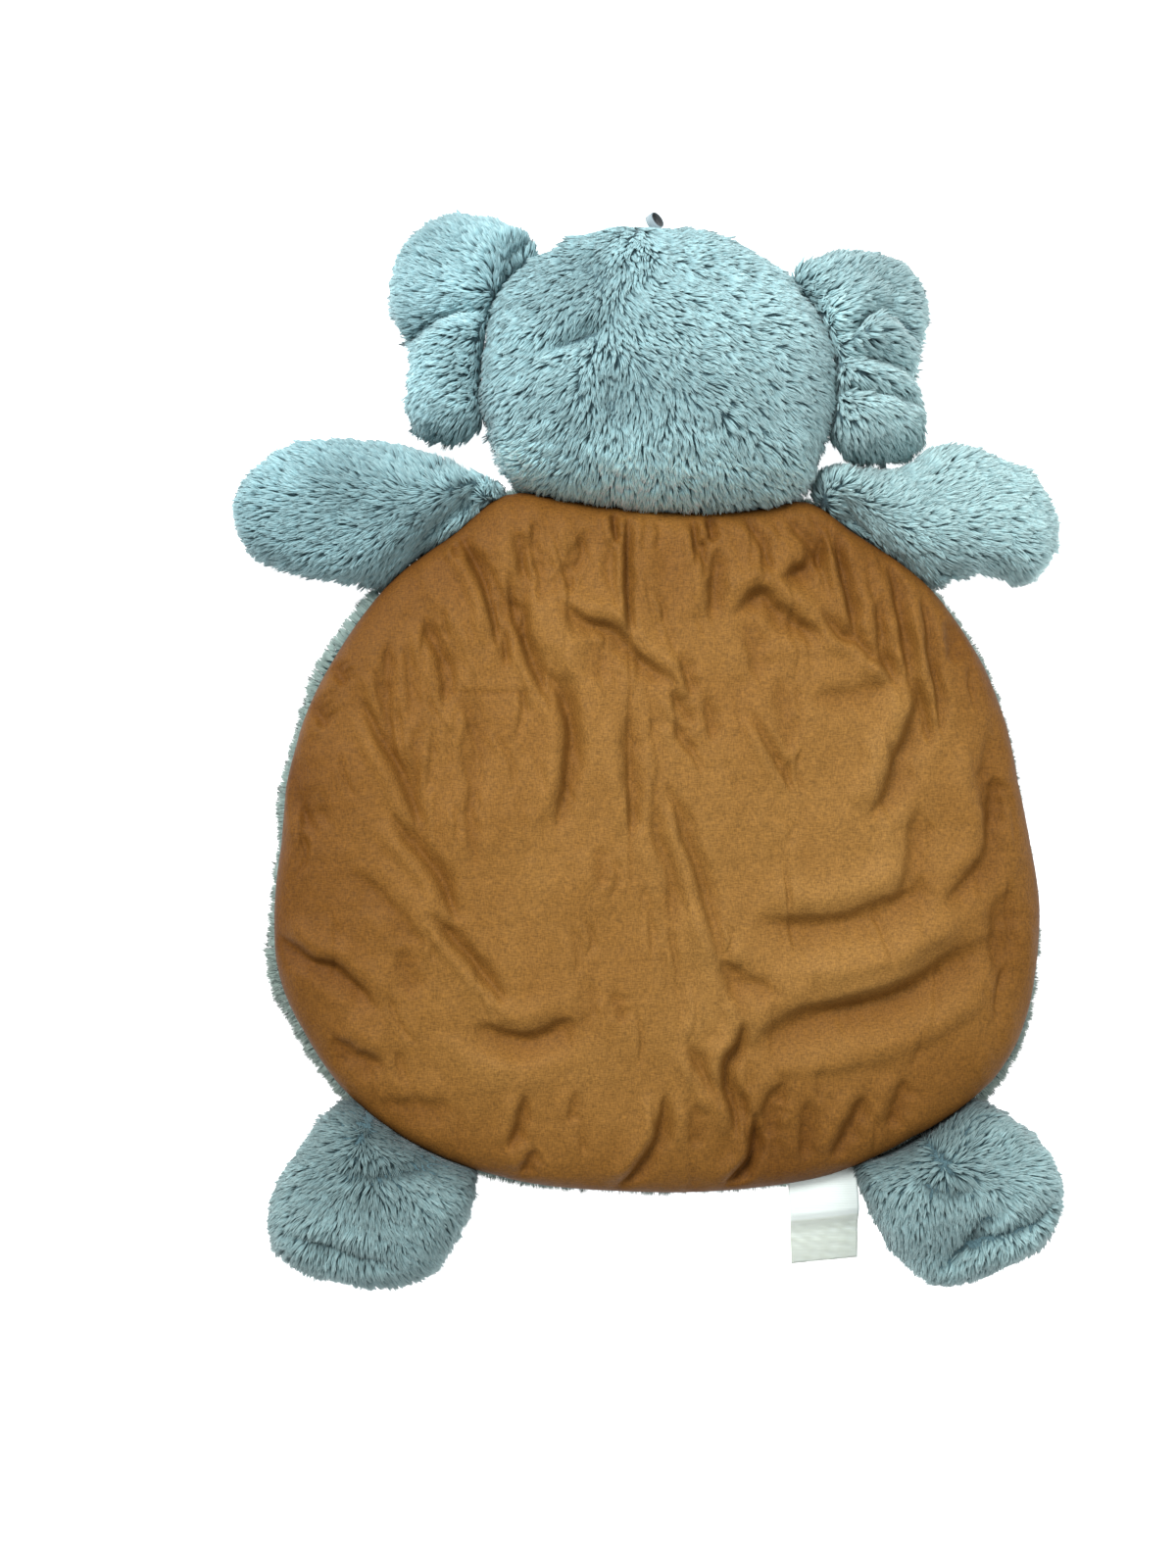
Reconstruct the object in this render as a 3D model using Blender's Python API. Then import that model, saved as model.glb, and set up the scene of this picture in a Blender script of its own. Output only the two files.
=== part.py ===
# Elephant-shaped padded floor mat for a small child, lying face down with its woven backing up.
# Metres, +Z up, floor at z = 0, origin at the middle of the footprint. The head points to +Y.
# Every stuffed piece is a closed "pillow": an outline from a short table, a seam line that runs
# round it at its own height, and a domed top and a flattened bottom that grow from that seam.
import bpy
import bmesh
import numpy as np
from mathutils import Vector
from mathutils.geometry import delaunay_2d_cdt

for old in list(bpy.data.objects):
    bpy.data.objects.remove(old, do_unlink=True)

MM = 0.001

# ---- driving dimensions, millimetres -------------------------------------------------------
GAP = 0.45                 # plan gap between sewn neighbours (0.3 mm is the least that is kept)
FRONT_THICK = 12.0         # plush front panel under the backing
LOCK_PITCH = 9.0           # spacing of the pile locks round its rim
LOCK_DEPTH = 6.5           # how far the valleys between the locks run in
PAD_SEAM = 17.0            # height of the backing's edge seam
PAD_RISE = 19.0            # how far the padding rises just inside that seam
PAD_CROWN = 10.0           # and the further rise to the middle
PAD_EDGE = 26.0            # width of the rounded edge
HEAD_SEAM, HEAD_TOP, HEAD_EDGE = 42.0, 94.0, 104.0
EAR_SEAM_OUT, EAR_RISE = 12.0, 21.0
ARM_SEAM, ARM_TOP, ARM_EDGE = 24.0, 54.0, 46.0
FOOT_SEAM, FOOT_TOP, FOOT_EDGE = 26.0, 62.0, 46.0
LOOP_WIDE, LOOP_LONG, LOOP_BAND, LOOP_CLOTH = 10.6, 10.2, 8.0, 1.8
LOOP_X, LOOP_Z = 6.0, 42.0
LABEL_CLOTH = 1.2

# ---- outlines: columns x, y (mm), anticlockwise or clockwise, joined by a smooth curve ------
PAD = [(-106, 189), (-140, 163), (-189, 128), (-233, 70), (-260, 14), (-272, -56), (-278, -123),
       (-271, -181), (-243, -231), (-190, -283), (-110, -321), (-15, -332), (67, -330),
       (147, -316), (223, -278), (275, -221), (291, -149), (290, -97), (276, -20), (256, 43),
       (222, 108), (196, 134), (160, 158), (136, 174), (117, 185), (95, 177), (42, 173),
       (-15, 176), (-73, 184)]
HEAD = [(-72, 359), (-40, 375), (5, 377), (46, 373), (80, 357), (111, 330), (132, 295),
        (135, 260), (130, 221), (123, 194), (98, 174), (42, 170), (-15, 173), (-73, 181),
        (-103, 195), (-115, 224), (-121, 264), (-116, 307), (-101, 340)]
EAR_LEFT = [(-84, 369), (-107, 387), (-134, 399), (-161, 395), (-185, 373), (-192, 343),
            (-183, 309), (-177, 292), (-180, 255), (-169, 230), (-146, 222), (-125, 227),
            (-104, 262), (-92, 318), (-76, 350)]
EAR_RIGHT = [(102, 350), (127, 363), (158, 371), (191, 361), (210, 334), (208, 303), (201, 283),
             (208, 255), (202, 221), (180, 209), (152, 213), (134, 225), (120, 266), (112, 310)]
ARM_LEFT = [(-307, 181), (-289, 208), (-262, 225), (-220, 229), (-169, 222), (-130, 206),
            (-108, 192), (-117, 160), (-161, 123), (-202, 118), (-264, 128), (-299, 148)]
ARM_RIGHT = [(126, 198), (154, 207), (180, 212), (213, 225), (249, 221), (284, 204), (304, 171),
             (303, 143), (279, 121), (249, 127), (213, 115), (169, 132), (136, 166)]
FOOT_LEFT = [(-226, -264), (-251, -298), (-279, -335), (-280, -370), (-245, -395),
             (-197, -402), (-156, -390), (-138, -356), (-125, -322), (-161, -282)]
FOOT_RIGHT = [(248, -263), (282, -291), (307, -329), (296, -369), (256, -392), (212, -401),
              (184, -384), (165, -350), (156, -316), (197, -283)]

# ---- pile rim: how far the plush front's locks reach past the backing's edge seam -----------
# columns: bearing round the mat's middle (degrees, 0 = +X, anticlockwise), reach (mm)
MAT_MIDDLE = (5.0, -70.0)
RIM = [(-180, 6), (-170, 8), (-160, 13), (-150, 15), (-135, 16), (-118, 10), (-95, 5), (-75, 6),
       (-60, 9), (-48, 14), (-35, 16), (-22, 12), (-10, 6), (0, 4), (15, 5), (35, 9), (55, 10),
       (120, 10), (140, 14), (155, 11), (168, 8), (180, 6)]

# ---- wrinkles of the backing: columns depth (mm, minus is a ridge), half width (mm), path ---
PAD_FOLDS = [
    (6.0, 8, ((-138, 154), (-122, 126), (-110, 90), (-106, 64))),
    (5.5, 9, ((-102, 116), (-90, 74), (-65, 35), (-56, 0), (-65, -48))),
    (4.0, 8, ((-161, 94), (-151, 64), (-149, 40))),
    (5.0, 9, ((-206, 31), (-184, -10), (-169, -49), (-161, -77))),
    (4.0, 8, ((-181, -63), (-155, -92), (-140, -128))),
    (5.5, 8, ((-153, -130), (-130, -153), (-98, -196))),
    (4.0, 7, ((-14, 172), (-13, 90), (-10, -20))),
    (3.0, 8, ((-59, 107), (-40, 88), (-12, 65), (6, 51))),
    (5.5, 8, ((77, 170), (87, 150), (88, 118))),
    (5.0, 8, ((141, 158), (144, 115), (153, 85))),
    (5.5, 9, ((166, 143), (185, 108), (201, 50), (202, 10))),
    (4.0, 8, ((125, 100), (144, 83), (177, 46))),
    (3.5, 12, ((81, 111), (105, 95), (125, 83))),
    (3.5, 8, ((79, 20), (93, -8), (105, -28))),
    (4.5, 8, ((200, 28), (182, -6), (170, -44))),
    (4.5, 9, ((15, -32), (31, -73), (46, -125), (68, -200))),
    (5.0, 9, ((95, -137), (140, -133), (186, -117), (198, -83))),
    (7.5, 9, ((87, -220), (110, -202), (156, -194), (197, -176), (227, -158))),
    (6.5, 8, ((60, -215), (55, -245), (70, -275), (76, -305))),
    (5.0, 7, ((15, -247), (8, -283), (-15, -318))),
    (4.0, 7, ((33, -220), (52, -256))),
    (4.0, 8, ((160, -262), (141, -293))),
    (4.5, 9, ((-272, -139), (-241, -160), (-210, -174))),
    (5.0, 14, ((-127, -211), (-86, -217), (-55, -208))),
    (4.0, 7, ((-93, -277), (-101, -305))),
    (4.0, 9, ((245, -13), (253, -70), (252, -135))),
    (-2.5, 16, ((-80, 140), (-70, 80), (-40, 30))),
    (-2.5, 18, ((110, -165), (170, -155), (215, -135))),
    (-2.5, 16, ((30, -160), (50, -215), (90, -262))),
]
HEAD_FOLDS = [(5.0, 8, ((-67, 282), (-44, 289), (-33, 297)))]
EAR_LEFT_FOLDS = [(9.0, 9, ((-184, 302), (-149, 315), (-112, 321))),
                  (7.0, 8, ((-88, 368), (-103, 353), (-108, 340))),
                  (-3.0, 12, ((-171, 288), (-138, 308)))]
EAR_RIGHT_FOLDS = [(8.0, 8, ((128, 302), (158, 316), (172, 321))),
                   (6.0, 7, ((138, 287), (173, 286), (197, 279))),
                   (4.5, 7, ((134, 266), (173, 264), (202, 259)))]
ARM_LEFT_FOLDS = [(5.0, 7, ((-176, 148), (-146, 168), (-122, 192)))]
ARM_RIGHT_FOLDS = [(8.0, 7, ((142, 184), (165, 162), (186, 143)))]
FOOT_LEFT_FOLDS = [(4.0, 8, ((-212, -278), (-182, -296), (-150, -312)))]
FOOT_RIGHT_FOLDS = [(6.0, 9, ((188, -378), (242, -360), (292, -344))),
                    (3.0, 8, ((180, -310), (215, -292), (240, -272)))]

# ---- care label: columns y (mm), z of its mid-line (mm); it springs up at its fold ----------
LABEL_EDGE_LEFT, LABEL_EDGE_RIGHT, LABEL_SLEW = 109.0, 154.5, 5.0
LABEL_PATH = [(-326, 17.0), (-334, 19.5), (-343, 20.6), (-350, 20.2), (-355, 17.0),
              (-361, 11.5), (-368, 7.8), (-376, 6.6), (-384, 4.4), (-393, 1.0)]

COLOURS = {                # linear RGB, roughness
    "plush": ((0.30, 0.45, 0.49), 0.95),
    "woven": ((0.34, 0.165, 0.043), 0.80),
    "ribbon": ((0.36, 0.40, 0.41), 0.70),
    "label": ((0.86, 0.89, 0.88), 0.60),
}


# ---- outline helpers -----------------------------------------------------------------------
def smooth_loop(table, spacing):
    """Closed centripetal curve through the table's points, resampled at an even spacing."""
    p = np.array(table, float)
    dense = []
    for i in range(len(p)):
        a, b, c, d = p[i - 1], p[i], p[(i + 1) % len(p)], p[(i + 2) % len(p)]
        t0 = 0.0
        t1 = t0 + np.linalg.norm(b - a) ** 0.5
        t2 = t1 + np.linalg.norm(c - b) ** 0.5
        t3 = t2 + np.linalg.norm(d - c) ** 0.5
        for t in np.linspace(t1, t2, 12, endpoint=False):
            a1 = (t1 - t) / (t1 - t0) * a + (t - t0) / (t1 - t0) * b
            a2 = (t2 - t) / (t2 - t1) * b + (t - t1) / (t2 - t1) * c
            a3 = (t3 - t) / (t3 - t2) * c + (t - t2) / (t3 - t2) * d
            b1 = (t2 - t) / (t2 - t0) * a1 + (t - t0) / (t2 - t0) * a2
            b2 = (t3 - t) / (t3 - t1) * a2 + (t - t1) / (t3 - t1) * a3
            dense.append((t2 - t) / (t2 - t1) * b1 + (t - t1) / (t2 - t1) * b2)
    return resample(np.array(dense), spacing)


def resample(loop, spacing):
    closed = np.vstack([loop, loop[:1]])
    run = np.concatenate([[0.0], np.cumsum(np.linalg.norm(np.diff(closed, axis=0), axis=1))])
    count = max(8, int(round(run[-1] / spacing)))
    at = np.linspace(0.0, run[-1], count, endpoint=False)
    out = np.column_stack([np.interp(at, run, closed[:, k]) for k in (0, 1)])
    area = np.sum(out[:, 0] * np.roll(out[:, 1], -1) - np.roll(out[:, 0], -1) * out[:, 1])
    return out if area > 0 else out[::-1]


def edge_distance(points, loop):
    """Distance of each point from the loop, its nearest point on it, and whether it is inside."""
    a, b = loop, np.roll(loop, -1, axis=0)
    ab = b - a
    best = np.full(len(points), 1e9)
    near = np.zeros_like(points)
    inside = np.zeros(len(points), bool)
    for p0, p1, d in zip(a, b, ab):
        t = np.clip(((points - p0) @ d) / max(d @ d, 1e-12), 0.0, 1.0)
        q = p0 + t[:, None] * d
        dist = np.linalg.norm(points - q, axis=1)
        closer = dist < best
        best = np.where(closer, dist, best)
        near[closer] = q[closer]
        span = (p0[1] > points[:, 1]) != (p1[1] > points[:, 1])
        if span.any():
            cross = (p1[0] - p0[0]) * (points[:, 1] - p0[1]) / (p1[1] - p0[1] + 1e-15) + p0[0]
            inside ^= span & (points[:, 0] < cross)
    return best, near, inside


def keep_clear(loop, neighbour, gap=GAP):
    """Push the loop's points out of a neighbour, so that the two meet edge to edge."""
    out = loop.copy()
    for _ in range(3):
        dist, near, inside = edge_distance(out, neighbour)
        signed = np.where(inside, -dist, dist)
        move = signed < gap
        away = out - near
        away[inside] *= -1.0
        size = np.linalg.norm(away, axis=1)
        ok = move & (size > 1e-6)
        out[ok] = near[ok] + away[ok] / size[ok, None] * gap
    return out


def path_distance(points, path):
    """Distance from an open path, and how far along it (0 to 1) the nearest point lies."""
    p = np.array(path, float)
    seg = np.linalg.norm(np.diff(p, axis=0), axis=1)
    start = np.concatenate([[0.0], np.cumsum(seg)])
    best = np.full(len(points), 1e9)
    along = np.zeros(len(points))
    for i, length in enumerate(seg):
        d = p[i + 1] - p[i]
        t = np.clip(((points - p[i]) @ d) / (d @ d), 0.0, 1.0)
        dist = np.linalg.norm(points - (p[i] + t[:, None] * d), axis=1)
        closer = dist < best
        best = np.where(closer, dist, best)
        along = np.where(closer, (start[i] + t * length) / start[-1], along)
    return best, along


def folds(points, table):
    """Sum of soft troughs; each fades out over the first and last fifth of its path."""
    total = np.zeros(len(points))
    for depth, half, path in table:
        dist, along = path_distance(points, path)
        fade = np.clip(np.minimum(along, 1.0 - along) / 0.2, 0.35, 1.0)
        total -= depth * fade * np.exp(-(dist / half) ** 2)
    return total


def swell(depth, width, power=2.2):
    """Pillow profile: 0 at the seam, 1 from `width` inside it, upright where it starts."""
    t = np.clip(depth / width, 0.0, 1.0)
    return (1.0 - (1.0 - t) ** power) ** (1.0 / power)


def lumps(points, size, seed):
    """Soft uneven stuffing, from a few crossed waves, about -1 to 1."""
    rng = np.random.default_rng(seed)
    total = np.zeros(len(points))
    for _ in range(5):
        turn = rng.uniform(0.0, np.pi)
        length = size * rng.uniform(0.8, 1.6)
        wave = np.array([np.cos(turn), np.sin(turn)]) * 2.0 * np.pi / length
        total += np.sin(points @ wave + rng.uniform(0.0, 6.28))
    return total / 3.0


# ---- mesh helpers --------------------------------------------------------------------------
def fill_points(loop, insets, spacing):
    """Points inside the loop: rows that follow its edge, then an even staggered field."""
    after, before = np.roll(loop, -1, axis=0), np.roll(loop, 1, axis=0)
    tangent = after - before
    tangent /= np.linalg.norm(tangent, axis=1)[:, None]
    normal = np.column_stack([-tangent[:, 1], tangent[:, 0]])
    rows = []
    for k, inset in enumerate(insets):
        row = loop + normal * inset
        dist, _, inside = edge_distance(row, loop)
        row = row[inside & (dist > inset * 0.93)]
        if k >= 2:
            row = thin_out(row, spacing * 0.62)
        rows.append(row)
    low, high = loop.min(axis=0), loop.max(axis=0)
    step = spacing * 0.866
    field = []
    for j, y in enumerate(np.arange(low[1], high[1], step)):
        for x in np.arange(low[0] + (j % 2) * spacing / 2, high[0], spacing):
            field.append((x, y))
    field = np.array(field)
    dist, _, inside = edge_distance(field, loop)
    rows.append(field[inside & (dist > insets[-1] + spacing * 0.6)])
    return np.vstack(rows)


def thin_out(points, least):
    kept = []
    for p in points:
        if all((p[0] - q[0]) ** 2 + (p[1] - q[1]) ** 2 > least ** 2 for q in kept[-3:] + kept[:2]):
            kept.append(p)
    return np.array(kept) if kept else points[:0]


def skin(loop, inner):
    """Triangles over the loop: its own points first, then the inner ones."""
    verts = [Vector(p) for p in np.vstack([loop, inner])]
    n = len(loop)
    ring = [(i, (i + 1) % n) for i in range(n)]
    done = delaunay_2d_cdt(verts, ring, [list(range(n))], 1, 1e-5)
    back = {i: src[0] for i, src in enumerate(done[3]) if src}
    return [tuple(back[i] for i in face) for face in done[2]]


def pillow(name, loop, seam, top, bottom, material, insets=(1.4, 4.5, 10.0, 18.0),
           spacing=14.0, base_insets=(3.0, 11.0), base_spacing=32.0, spines=None):
    """Closed solid from three height functions of (points, distance from the edge)."""
    upper = fill_points(loop, insets, spacing)
    lower = fill_points(loop, base_insets, base_spacing)
    if spines is not None:
        upper, lower = np.vstack([upper, spines]), np.vstack([lower, spines])
    rim_z = seam(loop)
    up_d, down_d = edge_distance(upper, loop)[0], edge_distance(lower, loop)[0]
    up_z = top(upper, up_d, seam(upper))
    down_z = bottom(lower, down_d, seam(lower))
    centre = np.array([loop[:, 0].mean(), loop[:, 1].mean(), 0.0])
    bm = bmesh.new()
    rim = [bm.verts.new((np.append(p, z) - centre) * MM) for p, z in zip(loop, rim_z)]
    crown = [bm.verts.new((np.append(p, z) - centre) * MM) for p, z in zip(upper, up_z)]
    base = [bm.verts.new((np.append(p, z) - centre) * MM) for p, z in zip(lower, down_z)]
    for face in skin(loop, upper):
        bm.faces.new([(rim + crown)[i] for i in face])
    for face in skin(loop, lower):
        bm.faces.new([(rim + base)[i] for i in reversed(face)])
    bmesh.ops.recalc_face_normals(bm, faces=bm.faces)
    return place(name, bm, centre, material)


def place(name, bm, centre, material):
    mesh = bpy.data.meshes.new(name)
    bm.to_mesh(mesh)
    bm.free()
    mesh.shade_smooth()
    obj = bpy.data.objects.new(name, mesh)
    bpy.context.collection.objects.link(obj)
    obj.location = Vector(centre) * MM
    colour, rough = COLOURS[material]
    mat = bpy.data.materials.new(name + "_" + material)
    mat.use_nodes = True
    shader = mat.node_tree.nodes["Principled BSDF"]
    shader.inputs["Base Color"].default_value = (*colour, 1.0)
    shader.inputs["Roughness"].default_value = rough
    shader.inputs["Metallic"].default_value = 0.0
    mesh.materials.append(mat)
    obj.parent = rug
    return obj


rug = bpy.data.objects.new("rug", None)
bpy.context.collection.objects.link(rug)

# ---- outlines in the order in which one gives way to the next ------------------------------
pad_loop = smooth_loop(PAD, 11.5)
head_loop = resample(keep_clear(smooth_loop(HEAD, 3.0), pad_loop), 10.5)


def limb_loop(table, *neighbours):
    loop = smooth_loop(table, 3.0)
    for _ in range(2):
        for other in neighbours:
            loop = keep_clear(loop, other, GAP + 0.05)
    return resample(loop, 9.5)


ear_left_loop = limb_loop(EAR_LEFT, head_loop)
ear_right_loop = limb_loop(EAR_RIGHT, head_loop)
arm_left_loop = limb_loop(ARM_LEFT, pad_loop, head_loop, ear_left_loop)
arm_right_loop = limb_loop(ARM_RIGHT, pad_loop, head_loop, ear_right_loop)
foot_left_loop = limb_loop(FOOT_LEFT, pad_loop)
label_loop = resample(np.array([(LABEL_EDGE_LEFT - 1, -300), (LABEL_EDGE_LEFT - 1, -394),
                                (LABEL_EDGE_RIGHT + 2.2, -390), (LABEL_EDGE_RIGHT + 1, -300)],
                               float), 3.0)
foot_right_loop = limb_loop(FOOT_RIGHT, pad_loop, label_loop)


# ---- body_pad: woven backing with the padding under it -------------------------------------
def pad_top(p, d, seam):
    rise = PAD_RISE * swell(d, PAD_EDGE) + PAD_CROWN * swell(d, 150.0, 1.6)
    depth = np.clip(d / 20.0, 0.0, 1.0)
    return seam + rise + (folds(p, PAD_FOLDS) + 1.6 * lumps(p, 95.0, 3)) * depth


def pad_bottom(p, d, seam):
    return seam - (PAD_SEAM - FRONT_THICK - 0.3) * np.clip(d / 2.5, 0.0, 1.0)


pillow("body_pad", pad_loop, lambda p: np.full(len(p), PAD_SEAM), pad_top, pad_bottom, "woven",
       insets=(1.6, 5.0, 11.0, 19.0), spacing=14.5, base_insets=(3.0,), base_spacing=60.0)


# ---- head, ears, arms and feet: stuffed plush ----------------------------------------------
def dome(top_z, width, table, seed, rough=1.5, power=2.2):
    def shape(p, d, seam):
        uneven = (folds(p, table) + rough * lumps(p, 60.0, seed)) * np.clip(d / 16.0, 0.0, 1.0)
        return seam + (top_z - seam) * swell(d, width, power) + uneven
    return shape


def belly(width, drop=1.25):
    """Bottom that curves down from the seam and lies flat on the floor."""
    def shape(p, d, seam):
        return np.maximum(0.0, seam - seam * drop * swell(d, width, 2.0))
    return shape


def near_to(p, loop, reach):
    """1 at a neighbour's edge, fading smoothly to 0 at `reach` from it."""
    t = 1.0 - np.clip(edge_distance(p, loop)[0] / reach, 0.0, 1.0)
    return t * t * (3.0 - 2.0 * t)


def sewn_seam(z, reach=48.0):
    """A limb's seam: at its own height, but down at the mat's seam where it is sewn in."""
    return lambda p: z + (PAD_SEAM - z) * near_to(p, pad_loop, reach)


def ear_seam(p):
    high = head_seam(p) - 1.0
    return EAR_SEAM_OUT + (high - EAR_SEAM_OUT) * near_to(p, head_loop, 85.0)


def ear_top(table, seed):
    def shape(p, d, seam):
        uneven = (folds(p, table) + 1.2 * lumps(p, 50.0, seed)) * np.clip(d / 14.0, 0.0, 1.0)
        return seam + EAR_RISE * swell(d, 30.0) + uneven
    return shape


def ear_bottom(p, d, seam):
    return np.maximum(0.0, seam - 17.0 * swell(d, 22.0, 2.0))


def level(z):
    return lambda p: np.full(len(p), z)


head_seam = sewn_seam(HEAD_SEAM, 66.0)
pillow("head", head_loop, head_seam, dome(HEAD_TOP, HEAD_EDGE, HEAD_FOLDS, 11, 2.0), belly(58.0),
       "plush", insets=(1.6, 5.5, 12.0, 21.0), spacing=15.0, base_insets=(4.0, 14.0, 28.0))
for name, loop, table, seed in (("ear_left", ear_left_loop, EAR_LEFT_FOLDS, 21),
                                ("ear_right", ear_right_loop, EAR_RIGHT_FOLDS, 22)):
    pillow(name, loop, ear_seam, ear_top(table, seed), ear_bottom, "plush", spacing=11.5,
           base_insets=(3.0, 12.0), base_spacing=22.0)
for name, loop, seam_z, top_z, width, table, seed in (
        ("arm_left", arm_left_loop, ARM_SEAM, ARM_TOP, ARM_EDGE, ARM_LEFT_FOLDS, 31),
        ("arm_right", arm_right_loop, ARM_SEAM, ARM_TOP - 2.0, ARM_EDGE, ARM_RIGHT_FOLDS, 32),
        ("foot_left", foot_left_loop, FOOT_SEAM, FOOT_TOP, FOOT_EDGE, FOOT_LEFT_FOLDS, 33),
        ("foot_right", foot_right_loop, FOOT_SEAM, FOOT_TOP - 2.0, FOOT_EDGE, FOOT_RIGHT_FOLDS, 34)):
    pillow(name, loop, sewn_seam(seam_z), dome(top_z, width, table, seed), belly(30.0), "plush",
           spacing=12.5, base_insets=(3.0, 13.0), base_spacing=26.0)


# ---- plush_front: flat slab of pile whose rim is cut into locks ----------------------------
def rim_loop():
    """Alternate lock tips and valleys; the pile is pulled in under the sewn-on pieces."""
    fine = resample(pad_loop, LOCK_PITCH / 2.0)
    tangent = np.roll(fine, -1, axis=0) - np.roll(fine, 1, axis=0)
    tangent /= np.linalg.norm(tangent, axis=1)[:, None]
    outward = np.column_stack([tangent[:, 1], -tangent[:, 0]])
    bearing = np.degrees(np.arctan2(fine[:, 1] - MAT_MIDDLE[1], fine[:, 0] - MAT_MIDDLE[0]))
    reach = np.interp(bearing, [row[0] for row in RIM], [row[1] for row in RIM])
    rng = np.random.default_rng(5)
    tips = np.arange(len(fine)) % 2 == 0
    reach = np.where(tips, reach + rng.uniform(-1.0, 1.8, len(fine)),
                     reach - LOCK_DEPTH * rng.uniform(0.8, 1.1, len(fine)))
    reach = np.maximum(reach, -3.0)
    others = [head_loop, ear_left_loop, ear_right_loop, arm_left_loop, arm_right_loop,
              foot_left_loop, foot_right_loop, label_loop]
    for _ in range(14):
        spot = fine + outward * reach[:, None]
        clash = np.zeros(len(fine), bool)
        for other in others:
            dist, _, inside = edge_distance(spot, other)
            clash |= inside | (dist < 2.2)
        reach = np.where(clash, np.maximum(reach - 1.2, -4.0), reach)
    lean = tangent * (rng.uniform(-1.6, 1.6, len(fine)) * tips * (reach > 0.0))[:, None]
    spot = fine + outward * reach[:, None] + lean
    valleys = (np.roll(spot, 1, axis=0) + np.roll(spot, -1, axis=0)) / 2.0
    stands = tips & (np.linalg.norm(spot - valleys, axis=1) > 3.0) & (reach > 0.0)
    spines = (valleys + (spot - valleys) * 0.35)[stands]
    keep = stands | np.roll(stands, 1) | np.roll(stands, -1) | (np.arange(len(fine)) % 4 == 1)
    return spot[keep], spines


def slab_top(p, d, seam):
    inside_pad = edge_distance(p, pad_loop)
    depth = np.where(inside_pad[2], inside_pad[0], 0.0)
    high = seam + (FRONT_THICK - seam) * swell(d, 7.0)
    high -= 1.6 * np.clip(1.0 - depth / 4.0, 0.0, 1.0) * (1.0 + lumps(p, 22.0, 8))
    return np.where(depth > 4.0, FRONT_THICK, np.clip(high, seam, FRONT_THICK))


def slab_bottom(p, d, seam):
    return seam * np.clip(1.0 - d / 1.2, 0.0, 1.0)


slab_loop, slab_spines = rim_loop()
print("locks", len(slab_spines))
pillow("plush_front", slab_loop, level(4.5), slab_top, slab_bottom, "plush",
       insets=(3.2, 10.0), spacing=44.0, base_insets=(3.4,), base_spacing=60.0,
       spines=slab_spines)


# ---- hang_loop: ribbon bent into a small upright-edged loop in the head's top seam ---------
def hang_loop():
    dist, near, _ = edge_distance(np.array([[LOOP_X, 400.0]]), head_loop)
    root = float(near[0, 1]) + 0.5
    half = (LOOP_WIDE - LOOP_CLOTH) / 2.0
    straight = LOOP_LONG - LOOP_CLOTH / 2.0 - half
    path = [(-half, 0.0), (-half, straight * 0.5)]
    for k in range(9):
        turn = np.pi - np.pi * k / 8.0
        path.append((half * np.cos(turn), straight + half * np.sin(turn)))
    path += [(half, straight * 0.5), (half, 0.0)]
    bm = bmesh.new()
    low = [bm.verts.new(Vector((x, y, -LOOP_BAND / 2)) * MM) for x, y in path]
    edges = [bm.edges.new(pair) for pair in zip(low, low[1:])]
    grown = bmesh.ops.extrude_edge_only(bm, edges=edges)
    for v in grown["geom"]:
        if isinstance(v, bmesh.types.BMVert):
            v.co.z = LOOP_BAND / 2 * MM
    bmesh.ops.recalc_face_normals(bm, faces=bm.faces)
    obj = place("hang_loop", bm, np.array([LOOP_X, root, LOOP_Z]), "ribbon")
    thick = obj.modifiers.new("cloth", "SOLIDIFY")
    thick.thickness = LOOP_CLOTH * MM
    thick.offset = 0.0
    thick.use_even_offset = True


hang_loop()


# ---- care_label: blank folded tape, sewn in at the bottom seam -----------------------------
def edge_below(x):
    """y of the mat's lower edge at this x."""
    low = pad_loop[pad_loop[:, 1] < -150.0]
    low = low[np.argsort(low[:, 0])]
    return float(np.interp(x, low[:, 0], low[:, 1]))


def care_label():
    path = np.array(LABEL_PATH, float)
    across = np.linspace(0.0, 1.0, 9)
    bm = bmesh.new()
    rows = []
    for i, (y, z) in enumerate(path):
        s = i / (len(path) - 1)
        row = []
        for a in across:
            x = LABEL_EDGE_LEFT + 1.5 * s + a * (LABEL_EDGE_RIGHT - LABEL_EDGE_LEFT)
            curl = 0.7 * np.sin(a * 3.1 + 0.4) * np.sin(s * np.pi)
            at = y + LABEL_SLEW * a
            if i == 0:
                at, curl = edge_below(x) - GAP - 0.1, 0.0
            row.append(bm.verts.new(Vector((x, at, z + curl)) * MM))
        rows.append(row)
    for upper, lower in zip(rows, rows[1:]):
        for k in range(len(upper) - 1):
            bm.faces.new((upper[k], lower[k], lower[k + 1], upper[k + 1]))
    bmesh.ops.recalc_face_normals(bm, faces=bm.faces)
    obj = place("care_label", bm, np.array([0.0, 0.0, 0.0]), "label")
    thick = obj.modifiers.new("tape", "SOLIDIFY")
    thick.thickness = LABEL_CLOTH * MM
    thick.offset = 0.0
    thick.use_even_offset = True


care_label()

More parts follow.
